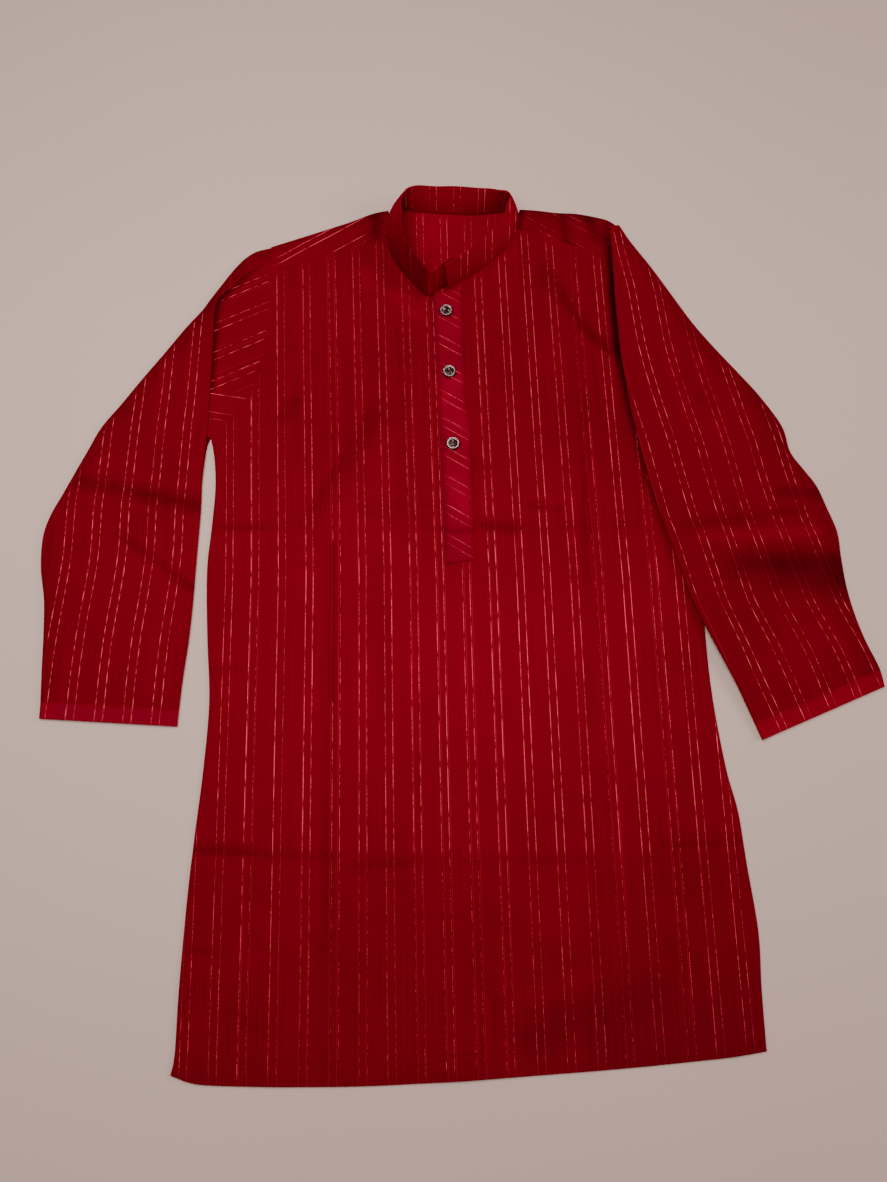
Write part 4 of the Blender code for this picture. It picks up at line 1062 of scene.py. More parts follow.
def front():
    ob = panel("front_cloth", FRONT_OUTLINE, front_place, body_cut, CLOTH_RED, body_painted_light,
               creases=pressed_lines(FRONT_OUTLINE) + hem_lines())
    runs = []
    low, high = FRONT_OUTLINE[:, 0].min() - FRONT_PAIRS_AT - 0.01, FRONT_OUTLINE[:, 0].max() - FRONT_PAIRS_AT
    for u, bright in pair_lines(low, high, nudges=FRONT_NUDGES, faint=FAINT_THREADS):
        for y0, y1, dim in THREAD_BANDS:
            ys = np.linspace(y0, y1, int((y1 - y0) / 0.004) + 1)
            at_side = 1.0 + 0.9 * float(ease((abs(u - 0.215) - 0.15) / 0.03)) * (y0 < -0.3)
            runs += runs_along(body_x(u, ys), ys, FRONT_OUTLINE, front_place, bright * dim * at_side,
                               hole=STRIP_OUTLINE)
    line = threads("front_threads", lit(runs, FRONT_SHADES))
    xs = np.linspace(-0.229, 0.249, 200)
    ys = y_at(HEM_EDGE, xs) + HEM_WIDTH - STITCH_INSET
    seam = stitches("front_hem_stitches", [on_cloth(front_place(xs, ys))])
    give(ob, "front_panel", [line, seam])


def back():
    seam_y = YOKE_BACK_SEAM_Y - SEAM_GAP
    left = np.array([p for p in LEFT_EDGE if p[1] < seam_y - 0.002] + [(x_at(LEFT_EDGE, seam_y), seam_y)])
    right = np.array([p for p in RIGHT_EDGE if p[1] < seam_y - 0.002]
                     + [(x_at(RIGHT_EDGE, seam_y), seam_y)])
    inset = 0.0012         # it lies just inside the front's edges
    outline = joined(HEM_EDGE + (inset, inset), right - (inset, 0), left[::-1] + (inset, 0))
    ob = panel("back_cloth", outline, level(BACK_LAYER), body_cut, CLOTH_RED, cell=COARSE)
    give(ob, "back_panel", [])


YOKE_SLOPE = math.tan(math.radians(32))   # fall of its stripes away from the neck
YOKE_PAIR_AT = (0.3700, 0.4090)   # where a pair would meet x = 0, on the left and right shoulder
YOKE_FOLDS = table(Fold,
    (67.2, 396, 69, 364, 8, -0.6), (112, 395, 113.5, 364, 12, -0.5), (-100, 385, -110, 360, 14, 0.4),
    (-145, 370, -160, 344, 16, 0.4), (135, 395, 145, 360, 14, 0.4))
YOKE_ENDS = (float(x_at(LEFT_EDGE, 0.33)) - 0.0016, float(x_at(RIGHT_EDGE, 0.34)))
FOLD_RADIUS = (FRONT_LAYER - BACK_LAYER) / 2
HALF_TURN = math.pi * FOLD_RADIUS         # of the cloth round the shoulder fold


def front_t(x, y):
    """How far a place on the front lies past the middle of the shoulder fold, along the cloth."""
    return y_at(SHOULDER_LINE, x) - FOLD_RADIUS - CLOTH / 2 - y + HALF_TURN / 2


def yoke_place(x, t):
    """Folds the flat yoke over the shoulders. t is negative on the back."""
    top = y_at(SHOULDER_LINE, x) - FOLD_RADIUS - CLOTH / 2
    angle = np.clip(t / FOLD_RADIUS, -math.pi / 2, math.pi / 2)
    y = top + FOLD_RADIUS * np.cos(angle) - np.maximum(np.abs(t) - HALF_TURN / 2, 0)
    z = BACK_LAYER + FOLD_RADIUS * (1 + np.sin(angle))
    front_side = ease((t - HALF_TURN / 2) / 0.010)
    rise = relief(YOKE_FOLDS, x, y, False) + drape(x, y)
    return at_height(x, y, z + front_side * clear_of_neck(x, y) * rise)


def yoke_cut(x, t):
    slope = np.where(t > -0.005, YOKE_SLOPE, 0.0)
    at = np.where(x < 0, *YOKE_PAIR_AT)
    return (yoke_place(x, t)[:, 1] + slope * np.abs(x) - at) * math.cos(math.atan(YOKE_SLOPE)), x


def yoke_outline():
    """The flat yoke, from the left front seam round the neck, the right seam and the back."""
    def flat(run, side=1):
        return [(x, side * float(front_t(x, y))) for x, y in run]

    half = HALF_TURN / 2
    left, right = YOKE_ENDS
    return np.array([
        *flat(smooth(LEFT_YOKE_SEAM)), *flat([p for p in LEFT_NECK if 0.3725 < p[1] < 0.3945][::-1]),
        (YOKE_NECK[0], 0.0), (YOKE_NECK[0], -half), *flat(back_neck(), -1),
        (YOKE_NECK[1], -half), (YOKE_NECK[1], 0.0),
        *flat([p for p in RIGHT_NECK if 0.3815 < p[1] < 0.3960][::-1]), *flat(smooth(RIGHT_YOKE_SEAM)[::-1]),
        (right - 0.001, half), (right - 0.001, 0.0), (right - 0.001, -half),
        *flat([(right, YOKE_BACK_SEAM_Y), (left, YOKE_BACK_SEAM_Y)], -1),
        (left, -half), (left, 0.0), (left, half)])


def yoke():
    """Cut flat, with t across the shoulder fold, then folded over the shoulders."""
    outline = yoke_outline()
    creases = []
    for t in (-0.5, -0.33, -0.17, 0.17, 0.33, 0.5):
        for a, b in ((YOKE_ENDS[0] + 0.0006, YOKE_NECK[0] - 0.0010),
                     (YOKE_NECK[1] + 0.0010, YOKE_ENDS[1] - 0.0016)):
            creases.append(np.stack([np.linspace(a, b, 26), np.full(26, t * HALF_TURN)], axis=1))
    ob = panel("yoke_cloth", outline, yoke_place, yoke_cut, CLOTH_RED, yoke_painted_shade, creases=creases)
    runs = []
    stretch = math.sqrt(1 + YOKE_SLOPE ** 2)
    for side, at, dim in ((-1, YOKE_PAIR_AT[0], 0.85), (1, YOKE_PAIR_AT[1], 0.6)):
        for y0, bright in pair_lines(0.30, 0.55, PAIR_PITCH * stretch, PAIR_GAP * stretch, at):
            x = side * np.linspace(0.060, 0.185, 60)
            t = front_t(x, y0 - YOKE_SLOPE * np.abs(x))
            x, t = x[t > 0.2 * HALF_TURN], t[t > 0.2 * HALF_TURN]
            if len(x) > 2:
                runs += runs_along(x, t, outline, yoke_place, bright * dim)
    line = threads("yoke_threads", lit(runs, YOKE_SHADES))
    seams = []
    for seam in (LEFT_YOKE_SEAM, RIGHT_YOKE_SEAM):
        xs, ys = smooth(seam)[1:-1].T
        seams.append(on_cloth(yoke_place(xs, front_t(xs, ys + 0.0022))))
    sewn = stitches("yoke_stitches", seams)
    give(ob, "yoke", [line, sewn])


NECK_PAIR_AT = 0.0143      # x of a pair of the lining's threads


def yoke_lining():
    top = [p - (0, 0.0006) for p in back_neck()[::-1]]
    left, right = LINING_HALF
    outline = joined([(left, LINING_LOW_Y), (0.0, LINING_LOW_Y), (right, LINING_LOW_Y), (right, 0.3860),
                      (0.0640, 0.3910)], top, [(-0.0640, 0.3930), (left, 0.3820)])

    def place(x, y):
        rise = relief(WRINKLES, x, y, False) + 0.0002 * np.sin(x * 90 + y * 40)
        return at_height(x, y, LINING_LAYER + np.clip(rise, -0.0004, 0.0003))

    def cut(x, y):
        return x - NECK_PAIR_AT, y

    # the lining's point values make it lighter than the red, and darker left of x = -0.035
    ob = panel("yoke_lining_cloth", outline, place, cut, CLOTH_RED, lambda x, y: 0.70 - 0.08 * (x < -0.035))
    runs = []
    for u, bright in pair_lines(-0.075, 0.06):
        ys = np.linspace(LINING_LOW_Y, 0.41, 40)
        runs += runs_along(NECK_PAIR_AT + u + 0.03 * (0.35 - ys), ys, outline, place, bright)
    line = threads("yoke_lining_threads", runs)
    give(ob, "yoke_lining", [line])


# ---------------------------------------------------------------- collar
COLLAR_HEIGHTS = 9
UP_BAND = np.linspace(0, 1, COLLAR_HEIGHTS)
COLLAR_PAIRS = (0.0092, 0.0027)     # x of a pair on the left side's band, and on the back's
# the left band's threads are dim as painted shade
COLLAR_THREADS = ((0.4, 6.0, 1.0), (7.0, 12.6, 0.9), (14.5, 18.5, 0.35))   # rows, and how bright


def collar_surface():
    """Rows of points up the band's middle surface, and each row's place in the table."""
    tops = smooth([Point(r.top_x, r.top_y) for r in COLLAR], spans=COLLAR_SPANS)
    lows = smooth([Point(r.foot_z, 0.0) for r in COLLAR], spans=COLLAR_SPANS)[:, 0]
    lean = tops - COLLAR_FOOT
    length = np.linalg.norm(lean, axis=1)
    rise = np.sqrt(np.maximum(COLLAR_HEIGHT ** 2 - length ** 2, 0.0001))
    t = UP_BAND[None, :, None]
    outward = (-lean / np.maximum(length, 0.0005)[:, None] * (length > 0.0005)[:, None])[:, None]
    flat = (COLLAR_FOOT[:, None] + lean[:, None] * (t * t * 0.35 + t * 0.65)
            + outward * np.sin(np.pi * t) * 0.0006)
    place = np.arange(len(flat)) / COLLAR_SPANS
    wave = 0.0005 * np.sin(place * 1.9) + 0.0004 * np.sin(place * 4.3 + 1.0)
    wave *= ease((place - 1.5) / 2) * ease((18.0 - place) / 2)
    flat += outward * (wave[:, None] * UP_BAND)[..., None]
    height = lows[:, None] + rise[:, None] * UP_BAND
    return np.concatenate([flat, height[..., None]], axis=2), place


def collar_painted_light(grid, place):
    """Painted shade on the left band, which turns from the light, and a little on the back; painted light
    over the rest of the band, more at its foot and its under end.
    """
    left = ease((place - 13) / 1.5) * ease((20 - place) / 1.5)
    back_dark = ease((place - 6.5) / 1.5) * (1 - left)
    high = ease((grid[:, 0, 1] - 0.345) / 0.04)
    end = ease((place - 19.5) / 1.0)
    foot = ease(1 - UP_BAND / 0.35)
    painted_light_and_dye = (0.77 - 0.04 * back_dark - left * (0.38 - 0.16 * high))[:, None]
    return np.minimum(painted_light_and_dye + 0.08 * foot * (1 - left)[:, None] + 0.08 * end[:, None], 0.76)


def collar_runs(grid, normals, across, place):
    """Threads up both sides of the band. across is each point's distance across the warp."""
    runs = []
    for first, last, dim in COLLAR_THREADS:
        rows = (place >= first) & (place <= last)
        for u, bright in pair_lines(-0.08, 0.08):
            for side in (1, -1):
                run, ups = [], []
                for i in range(COLLAR_HEIGHTS):
                    order = np.argsort(across[rows, i])
                    xs = across[rows, i][order]
                    if not xs[0] + 0.0005 < u < xs[-1] - 0.0005:
                        continue
                    at, up = (np.array([np.interp(u, xs, part[rows, i, k][order]) for k in range(3)])
                              for part in (grid, normals))
                    run.append(at + side * up * COLLAR_CLOTH / 2)
                    ups.append(side * up)
                if len(run) > 2:
                    runs.append((run, ups, bright * dim))
    return runs


def collar():
    grid, place = collar_surface()
    normals = np.cross(np.gradient(grid, axis=0), np.gradient(grid, axis=1))
    normals /= np.linalg.norm(normals, axis=2)[..., None]
    across = grid[..., 0] - np.interp(place, [6.0, 8.0], COLLAR_PAIRS)[:, None]
    uv = np.stack([across.ravel(), np.tile(UP_BAND * COLLAR_HEIGHT, len(grid))], axis=1)
    ob = cloth("collar_cloth", grid.reshape(-1, 3), grid_faces(*grid.shape[:2]), uv,
               collar_painted_light(grid, place).ravel(), CLOTH_RED, COLLAR_CLOTH)
    line = threads("collar_threads", collar_runs(grid, normals, across, place))
    sewn = []
    for i in (1, COLLAR_HEIGHTS - 2):
        for side in (1, -1):
            up = side * normals[3:-3, i]
            sewn.append((grid[3:-3, i] + up * COLLAR_CLOTH / 2, up, 1.0))
    seam = stitches("collar_stitches", sewn)
    give(ob, "collar", [line, seam])


# ---------------------------------------------------------------- placket
def strip_height(x, y):
    """Folded edges roll down to the front, and the middle lies level with small pulls."""
    to_edge = away(closed_lines(STRIP_OUTLINE), np.stack([x, y], axis=1))
    pull = relief(WRINKLES, x, y, False) * 0.6 + 0.00025 * np.sin(y * 95) * ease((0.012 - x) / 0.02)
    at_button = sum(np.exp(-((x - b.x) ** 2 + (y - b.y) ** 2) / 0.006 ** 2) for b in BUTTONS)
    return (FRONT_LAYER + PLACKET_TOP_LIFT - 0.0021 * ease(1 - to_edge / 0.0017)
            + pull * ease(to_edge / 0.004) - 0.00035 * at_button)


def strip_place(x, y):
    return at_height(x, y, strip_height(x, y))


def placket():
    rims = [offset(np.vstack([STRIP_OUTLINE, STRIP_OUTLINE[:2]]), d)[1:-1] for d in (0.0006, 0.0012, 0.0019)]
    rims = [r[inside(STRIP_OUTLINE, r)] for r in rims]
    rims = [r[away(closed_lines(STRIP_OUTLINE), r) > 0.0004] for r in rims]
    strip_cut = turned_cut(*STRIP_TURN)
    ob = panel("placket_top_cloth", STRIP_OUTLINE, strip_place, strip_cut, BIAS_RED_AND_SHEEN, strip_painted_shade,
               cell=0.0032, creases=rims)
    runs = []
    xs = np.linspace(-0.024, 0.020, 40)
    for u, bright in pair_lines(-0.14, 0.18, gap=STRIP_GAP):
        runs += runs_along(xs, turned_line(*STRIP_TURN, u, xs), STRIP_OUTLINE, strip_place, bright, 0.0014)
    line = threads("placket_threads", runs)
    seams = []
    for side in (1, -1):
        edge = smooth(PLACKET_LEFT if side > 0 else PLACKET_RIGHT, 0.003) + (side * 0.0024, 0)
        edge = edge[(edge[:, 1] > edge[:, 1].min() + 0.003) & (edge[:, 1] < 0.304)]
        seams.append(on_cloth(strip_place(*edge.T)))
    xs = np.linspace(-0.0068, 0.0152, 12)
    for y in (0.0335, 0.0410):
        seams.append(on_cloth(strip_place(xs, y + 0.18 * (xs + 0.0068))))
    sewn = stitches("placket_stitches", seams)
    give(ob, "placket_top",
         [line, sewn])

    under = panel("placket_under_cloth", UNDER_OUTLINE, level(FRONT_LAYER + PLACKET_UNDER_LIFT), strip_cut,
                  CLOTH_RED, cell=COARSE)
    give(under, "placket_under", [])


# ---------------------------------------------------------------- sleeves
TOP_STEPS = np.concatenate([[0.0, 0.02, 0.05], np.linspace(0.08, 0.92, 28), [0.95, 0.98, 1.0]])
TOP_WEIGHTS = ease(TOP_STEPS / 0.12) * ease((1 - TOP_STEPS) / 0.12)
HEAD_STEPS = np.linspace(0, 1, 12)                # columns of the left sleeve's head
EDGE_TURNS = np.radians((30, 60, 90, 120, 150))   # columns round a sleeve's rolled edge
CUFF_STITCH_ROW = 0.87     # of the left sleeve's rows, where the cuff's stitching runs
CUFF_STEP = 0.0016         # between sections at the cuff
SLEEVE_STEP = 0.0040       # and above it
HeadRow = namedtuple("HeadRow", "points number fold_x joins")


def sleeve_grid(rows, tops, from_cuff):
    """Finer sections, with the drape added to the top columns and the cuff turned up."""
    def steps(k, b, c):
        gap = np.median(np.linalg.norm(c - b, axis=-1))
        return max(1, math.ceil(gap / (CUFF_STEP if k < 1 else SLEEVE_STEP)))

    fine, place = smooth_spans(rows, steps)
    x, y = fine[:, tops, 0], fine[:, tops, 1]
    up = from_cuff(x, y)
    grown = drape(x, y) * TOP_WEIGHTS * (0.25 + 0.75 * ease(up / CUFF_FLAT))
    fine[:, tops, 2] += np.maximum(grown, -0.0012) + hem_step(up, CUFF_WIDTH, 0.0003)
    return fine, place


def grid_normals(grid):
    n = np.cross(np.gradient(grid, axis=1), np.gradient(grid, axis=0))
    n /= np.linalg.norm(n, axis=2)[..., None] + 1e-12
    return n


def sleeve_runs(grid, tops, cut, gap, low, high, dim):
    """Warp threads over the top of a sleeve, found on each section and joined along it."""
    top = grid[:, tops]
    if top[0, 0, 0] > top[0, -1, 0]:
        top = top[:, ::-1]
    n = grid_normals(top)
    n *= np.sign(n[..., 2:3] + 1e-9)
    u_at = cut(top[..., 0].ravel(), top[..., 1].ravel())[0].reshape(top.shape[:2])
    runs = []
    for u, bright in pair_lines(low, high, SLEEVE_PITCH, gap):
        run, ups = [], []
        for j in range(len(top) + 1):
            if j < len(top) and u_at[j, 1] < u < u_at[j, -2]:
                at = np.array([np.interp(u, u_at[j], top[j, :, k]) for k in range(3)])
                up = np.array([np.interp(u, u_at[j], n[j, :, k]) for k in range(3)])
                run.append(at + up * CLOTH / 2)
                ups.append(up)
            elif run:
                if len(run) > 3:
                    runs.append((run, ups, bright * dim))
                run, ups = [], []
    return runs


SLEEVE_RED = crimson_cloth("crimson_sleeve_cloth", RED, pitch=SLEEVE_PITCH)


def section(inner, outer):
    """A sleeve's section, which may tilt: its width, and its places by distance from the inner edge."""
    inner = np.array(inner)
    width = float(np.linalg.norm(np.array(outer) - inner))
    across = (np.array(outer) - inner) / width
    return width, lambda s: inner + across * s


def left_section(j, r):
    """Points from the cloth turned under the fold edge, over the top and back to the back seam."""
    edge = r.edge_height
    outer_top = min(SLEEVE_OUTER_TOP, edge)
    radius = (outer_top - BACK_LAYER) / 2
    width, spot = section((r.fold, r.y_inner), (r.outer, r.y_outer))

    def at(s, z):
        return (*spot(s), float(z))

    first = WALL / 2 + FOLD_ROUND
    start = width - WALL / 2 - radius
    if j < TUCK_END:
        row = [at(WALL / 2, r.lip_height), at(WALL / 2 + FOLD_ROUND * 0.3, (r.lip_height + edge) / 2)]
    else:
        row = [at(0.0001, FRONT_LAYER), at(0.0010, FRONT_LAYER)]
    for t in TOP_STEPS:
        crown = SLEEVE_CROWN * math.sin(math.pi * t) * float(ease(width / 0.08))
        crown *= float(ease((r.y_inner - LEFT_SLEEVE[0].y_inner) / CUFF_FLAT))
        row.append(at(first + (start - first) * t, edge + (outer_top - edge) * float(ease(t)) + crown))
    row += [at(start + radius * math.sin(a), BACK_LAYER + radius * (1 + math.cos(a))) for a in EDGE_TURNS]
    low = np.array(at(start, BACK_LAYER))
    clear = SEAM_GAP if j >= UNDER_BODY else SEAM_GAP + WALL / 2
    seam = np.array([r.back - clear, r.y_inner, BACK_LAYER])
    return row + [tuple(low + (seam - low) * t) for t in (0.0, 0.1, 0.25, 0.45, 0.65, 0.85, 1.0)]


def sleeve_head(fine, place):
    """Rows of the head, from the armhole seam to just under the fold edge.

    A row whose tuck has run out joins the sleeve, and shares the first point of its section.
    """
    fold_line = np.interp(place, range(len(LEFT_SLEEVE)), [r.fold for r in LEFT_SLEEVE])
    shift = np.interp(place, [TUCK_END - 3, TUCK_END - 2], [-HEAD_UNDERLAP, HEAD_SHORT])
    rows = []
    for j in np.flatnonzero(place >= HEAD_START - 1e-6):
        joins = place[j] >= TUCK_END - 1e-6
        y = np.full(len(HEAD_STEPS), fine[j, 0, 1])
        near = x_at(LEFT_EDGE, y) + 0.0002
        far = fine[j, 0, 0] if joins else fold_line[j] + shift[j]
        x = near + (far - near) * HEAD_STEPS
        rise = drape(x, y) * ease((1 - HEAD_STEPS) / 0.4)
        rows.append(HeadRow(at_height(x, y, FRONT_LAYER + rise), j, fold_line[j], joins))
    return rows


def tuck_dark(row):
    """The dark that the fold edge throws on the head."""
    x, y = row.points[:, 0], row.points[0, 1]
    depth = np.interp(y, (0.200, 0.300, 0.325, 0.350), (0.36, 0.42, 0.34, 0.0))
    width = np.interp(y, (0.200, 0.280, 0.300, 0.320, 0.345), (0.0045, 0.0055, 0.009, 0.015, 0.006))
    return depth * ease(1 - (x - row.fold_x) / width)


def head_runs(head):
    """Crosswise threads of the head, between the armhole seam and the fold edge."""
    grid = np.array([row.points for row in head])
    heights = grid[:, 0, 1]
    runs = []
    for u, bright in pair_lines(-0.12, 0.12, HEAD_PITCH, LEFT_SLEEVE_GAP):
        run = []
        xs = np.linspace(-0.1840, -0.2500, 90)
        for x, y in zip(xs, turned_line(*HEAD_TURN, u, xs)):
            if not heights[0] + 0.001 < y < heights[-1] - 0.001:
                continue
            j = int(np.searchsorted(heights, y))
            f = (y - heights[j - 1]) / (heights[j] - heights[j - 1])
            across = grid[j - 1] * (1 - f) + grid[j] * f
            if across[-1, 0] + 0.0008 < x < across[0, 0] - 0.0015:
                run.append((x, y, np.interp(-x, -across[:, 0], across[:, 2]) + CLOTH / 2))
        if len(run) > 3:
            runs.append((run, (0, 0, 1), bright * 1.25))
    return runs


def sleeve_left():
    """Rolled from the tuck's fold edge over the top, round the outer edge and back under.

    Above the gusset the head is a second run of columns, from the armhole seam to just under
    the fold edge. Where the tuck has run out the two runs share their points.
    """
    tops = slice(2, 2 + len(TOP_STEPS))
    fine, place = sleeve_grid([left_section(j, r) for j, r in enumerate(LEFT_SLEEVE)], tops, from_left_cuff)
    head = sleeve_head(fine, place)
    points = [tuple(p) for p in fine.reshape(-1, 3)]
    faces = grid_faces(*fine.shape[:2], flip=True)
    count = len(points)
    index = []
    for row in head:
        line = list(range(len(points), len(points) + len(HEAD_STEPS)))
        points += [tuple(p) for p in row.points]
        if row.joins:
            points.pop()
            line[-1] = row.number * fine.shape[1]
        index.append(line)
    for low, high in zip(index, index[1:]):
        faces += [(low[i], high[i], high[i + 1], low[i + 1]) for i in range(len(HEAD_STEPS) - 1)]

    points = np.array(points)
    x, y = points[:, 0], points[:, 1]
    uv = np.stack(left_cut(x, y), axis=1)
    uv[count:] = np.stack(turned_cut(*HEAD_TURN)(x[count:], y[count:]), axis=1)
    painted_light_and_dye = sleeve_painted_light_and_cuffs(x, y)
    painted_light_and_dye[count:] = 0.50
    for row, line in zip(head, index):
        own = line[:-1] if row.joins else line
        painted_light_and_dye[own] -= tuck_dark(row)[:len(own)]
    ob = cloth("sleeve_left_cloth", points, faces, uv, painted_light_and_dye, SLEEVE_RED)

    runs = sleeve_runs(fine, tops, left_cut, LEFT_SLEEVE_GAP, -0.14, 0.11, 1.25) + head_runs(head)
    line = threads("sleeve_left_threads", lit(runs, SLEEVE_SHADES), 0.014, 0.004, 0.0018)
    sewn_at = int(np.argmin(np.abs(place - CUFF_STITCH_ROW)))
    seam = stitches("sleeve_left_stitches", [on_cloth(fine[sewn_at, tops])])
    give(ob, "sleeve_left", [line, seam])


GUSSET_DROP = 0.00012


def gusset():
    def place(x, y):
        return at_height(x, y, FRONT_LAYER - GUSSET_DROP + drape(x, y) * ease((x + 0.236) / 0.008))

    # it runs on a little under the front and the sleeve head
    corners = np.array(GUSSET) + ((0, -0.0014), (0.0020, -0.0014), (0.0030, -0.0014), (0.0060, 0.0040),
                                  (0, 0.0040), (0, 0.0040))
    outline = joined(*[np.linspace(a, b, 10) for a, b in zip(corners, np.roll(corners, -1, 0))])
    ob = panel("gusset_left_cloth", outline, place, turned_cut(*GUSSET_TURN), SLEEVE_RED, cell=0.003)
    runs = []
    xs = np.linspace(-0.247, -0.200, 40)
    for u, bright in pair_lines(-0.02, 0.08, GUSSET_PITCH):
        runs += runs_along(xs, turned_line(*GUSSET_TURN, u, xs), outline, place, bright)
    line = threads("gusset_threads", runs)
    give(ob, "gusset_left", [line])


def lie(place, low, high):
    """Height of cloth that lies on the front, then drops to the floor beyond the drop line."""
    over = ease((x_at(DROP_EDGE, place[1]) + high - place[0]) / (high - low))
    return BACK_LAYER + (SLEEVE_OVER_FRONT - BACK_LAYER) * over


def right_section(r):
    """Points from the underarm seam round the inner edge, over the top and back to the seam."""
    width, spot = section((r.inner_x, r.inner_y), (r.outer_x, r.outer_y))
    flat = float(ease((r.inner_y - RIGHT_SLEEVE[0].inner_y) / CUFF_FLAT))
    loft = CUFF_LOFT + (SLEEVE_LOFT - CUFF_LOFT) * flat
    radius = loft / 2
    edge_in = radius + WALL / 2
    far = width - edge_in
    seam = min(UNDERARM_SEAM, width * 0.45)

    def at(s, z):
        return (*spot(s), float(z))

    def under(s):
        return lie(spot(s), DROP_FROM, DROP_TO[0])

    def over(s, t):
        crown = SLEEVE_CROWN * math.sin(math.pi * t) * float(ease(width / 0.08)) * flat
        return lie(spot(s), DROP_FROM, DROP_TO[1]) + loft + crown

    row = [at(s, under(s)) for s in (seam, (seam * 2 + edge_in) / 3, (seam + edge_in * 2) / 3, edge_in)]
    foot = under(edge_in)
    row += [at(edge_in - radius * math.sin(a), foot + radius * (1 - math.cos(a))) for a in EDGE_TURNS]
    row += [at(s, over(s, t)) for s, t in zip(edge_in + (width - 2 * edge_in) * TOP_STEPS, TOP_STEPS)]
    top = over(far, 1.0)
    half = (top - under(far)) / 2
    row += [at(far + radius * math.sin(a), top - half * (1 - math.cos(a))) for a in EDGE_TURNS]
    back = far + (seam + SEAM_GAP - far) * np.array((0, 0.15, 0.3, 0.5, 0.75, 1))
    return row + [at(s, under(s)) for s in back]


def sleeve_right():
    """Flattened tube that lies on the front, then drops to the floor beyond the side seam."""
    tops = slice(9, 9 + len(TOP_STEPS))
    fine, _ = sleeve_grid([right_section(r) for r in RIGHT_SLEEVE], tops, from_right_cuff)
    points = fine.reshape(-1, 3)
    uv = np.stack(right_cut(points[:, 0], points[:, 1]), axis=1)
    ob = cloth("sleeve_right_cloth", points, grid_faces(*fine.shape[:2]), uv,
               sleeve_painted_light_and_cuffs(points[:, 0], points[:, 1]), SLEEVE_RED)
    runs = sleeve_runs(fine, tops, right_cut, PAIR_GAP, -0.13, 0.13, 1.2)
    line = threads("sleeve_right_threads", lit(runs, SLEEVE_SHADES), 0.016, 0.005, 0.0018)
    run = []
    for column in fine[:, tops].transpose(1, 0, 2):
        up = from_right_cuff(column[:, 0], column[:, 1])
        run.append([np.interp(CUFF_WIDTH - STITCH_INSET, up, column[:, k]) for k in range(3)])
    seam = stitches("sleeve_right_stitches", [on_cloth(run)])
    give(ob, "sleeve_right", [line, seam])


# ---------------------------------------------------------------- buttons
BUTTON_BASE = FRONT_LAYER + PLACKET_TOP_LIFT + WALL / 2 + SEAM_GAP
RIM_WIDTH = 0.12           # as a share of the radius
DISH_DEPTH = 0.0010
RIM_ROUND = 0.00045
CENTRE_SHARE = 0.86        # radius of the dark centre, as a share of the button's
CENTRE_FLAT = 0.15         # its height as a share of its radius
CENTRE_Z = BUTTON_BASE + BUTTON_THICKNESS - 0.00125
CROSS_ARM = (0.0011, 0.00066)


def select_faces(ob, chosen):
    """In edit mode afterwards, with only the chosen faces selected."""
    bpy.ops.object.mode_set(mode="EDIT")
    bpy.ops.mesh.select_mode(type="FACE")
    bpy.ops.mesh.select_all(action="DESELECT")
    bpy.ops.object.mode_set(mode="OBJECT")
    for face in ob.data.polygons:
        face.select = chosen(face)
    bpy.ops.object.mode_set(mode="EDIT")


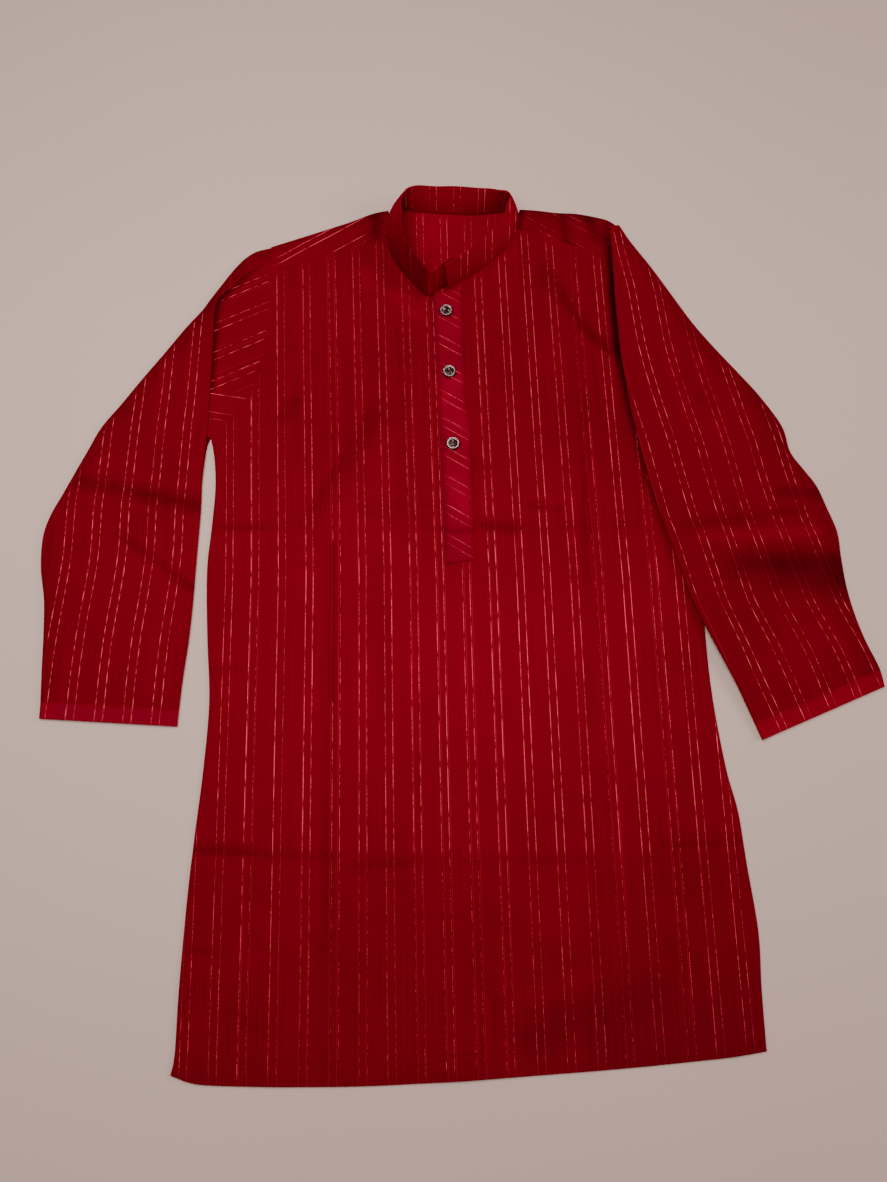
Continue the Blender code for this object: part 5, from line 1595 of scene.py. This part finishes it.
def button(number, spot):
    """Domed metal rim round a dished dark centre, sewn on with a small cross of thread. The rim's outer bevel
    is painted dark, as shade.
    """
    radius = BUTTON_DIAMETER / 2
    rim = primitive(bpy.ops.mesh.primitive_cylinder_add, f"button_{number}_rim", vertices=48, radius=radius,
                    depth=BUTTON_THICKNESS, location=(spot.x, spot.y, BUTTON_BASE + BUTTON_THICKNESS / 2))
    select_faces(rim, lambda face: face.normal.z > 0.9)
    bpy.ops.mesh.inset(thickness=radius * RIM_WIDTH)
    bpy.ops.mesh.extrude_region_move(TRANSFORM_OT_translate={"value": (0, 0, -DISH_DEPTH)})
    bpy.ops.mesh.inset(thickness=radius * 0.04)
    bpy.ops.object.mode_set(mode="OBJECT")
    apply_modifier(rim, "soft edge", "BEVEL", width=RIM_ROUND, segments=4, limit_method="ANGLE",
                   angle_limit=math.radians(35))
    bpy.ops.object.shade_smooth_by_angle(angle=math.radians(50))
    set_down()
    rim.data.materials.append(RIM_METAL_AND_GLINTS)
    rim.data.materials.append(PEARL_AND_GLINTS)
    # the outer bevel of the rim takes the dark centre's material, as painted shade
    for face in rim.data.polygons:
        out = math.hypot(face.center.x - spot.x, face.center.y - spot.y) / radius
        face.material_index = int(face.normal.z < 0.97 and out > 0.88)

    centre = primitive(bpy.ops.mesh.primitive_uv_sphere_add, f"button_{number}_centre", segments=40,
                       ring_count=20, radius=radius * CENTRE_SHARE, location=(spot.x, spot.y, CENTRE_Z))
    centre.scale.z = CENTRE_FLAT
    set_down()
    bpy.ops.object.shade_smooth()
    centre.data.materials.append(PEARL_AND_GLINTS)

    middle = np.array([spot.x, spot.y, CENTRE_Z + radius * CENTRE_SHARE * CENTRE_FLAT + 0.00004])
    cross = []
    for side in (1, -1):
        arm = np.array([CROSS_ARM[0], side * CROSS_ARM[1], 0.0])
        low = middle - (0, 0, 0.00010)
        cross.append(((low - arm, middle, low + arm), (0, 0, 1), 1.0))
    sewn = raised_lines(f"button_{number}_thread", cross, SEWING_THREAD, 0.0005, 0.0003, 0.01, 0.001, 0.00001,
                        0.0008)
    carry((rim, centre, sewn))
    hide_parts(f"button_{number}")


# ---------------------------------------------------------------- floor, light and camera
FLOOR_Z = -0.0004          # just clear of the cloth
STUDIO_GLOW = 0.28
LAMPS = (                  # name, place, aim, side in metres and watts
    ("overhead", (-0.25, 0.20, 1.05), (-0.25, 0.20, 0), 0.9, 12.9),
    ("right_window", (1.6, 0.20, 0.80), (0, 0, 0), 0.6, 12.0))
CAMERA_AT = (-0.0111, -0.1905, 0.80)
CAMERA_TILT = math.radians(13.513)
CAMERA_LENS = 27.05        # mm on a 36 mm sensor


def stage():
    ground = primitive(bpy.ops.mesh.primitive_plane_add, "floor", size=4.0, location=(0, 0, FLOOR_Z))
    ground.data.materials.append(floor_paint())

    for name, at, aim, size, power in LAMPS:
        lamp = bpy.data.lights.new(name, "AREA")
        lamp.energy = power
        lamp.size = size
        lamp.color = (1.0, 0.975, 0.95)
        ob = bpy.data.objects.new(name, lamp)
        bpy.context.collection.objects.link(ob)
        ob.location = at
        ob.rotation_euler = (Vector(aim) - Vector(at)).to_track_quat("-Z", "Y").to_euler()
    world = bpy.data.worlds.new("studio")
    world.use_nodes = True
    sky = world.node_tree.nodes["Background"].inputs
    sky[0].default_value = (0.95, 0.97, 1.0, 1)
    sky[1].default_value = STUDIO_GLOW
    bpy.context.scene.world = world

    lens = bpy.data.cameras.new("camera")
    lens.sensor_width = 36
    lens.sensor_fit = "AUTO"
    lens.lens = CAMERA_LENS
    lens.clip_start = 0.01
    camera = bpy.data.objects.new("camera", lens)
    camera.location = CAMERA_AT
    camera.rotation_euler = (CAMERA_TILT, 0, 0)
    bpy.context.collection.objects.link(camera)
    bpy.context.scene.camera = camera


back()
yoke()
yoke_lining()
front()
collar()
placket()
sleeve_left()
gusset()
sleeve_right()
for number, spot in enumerate(BUTTONS, 1):
    button(number, spot)
stage()
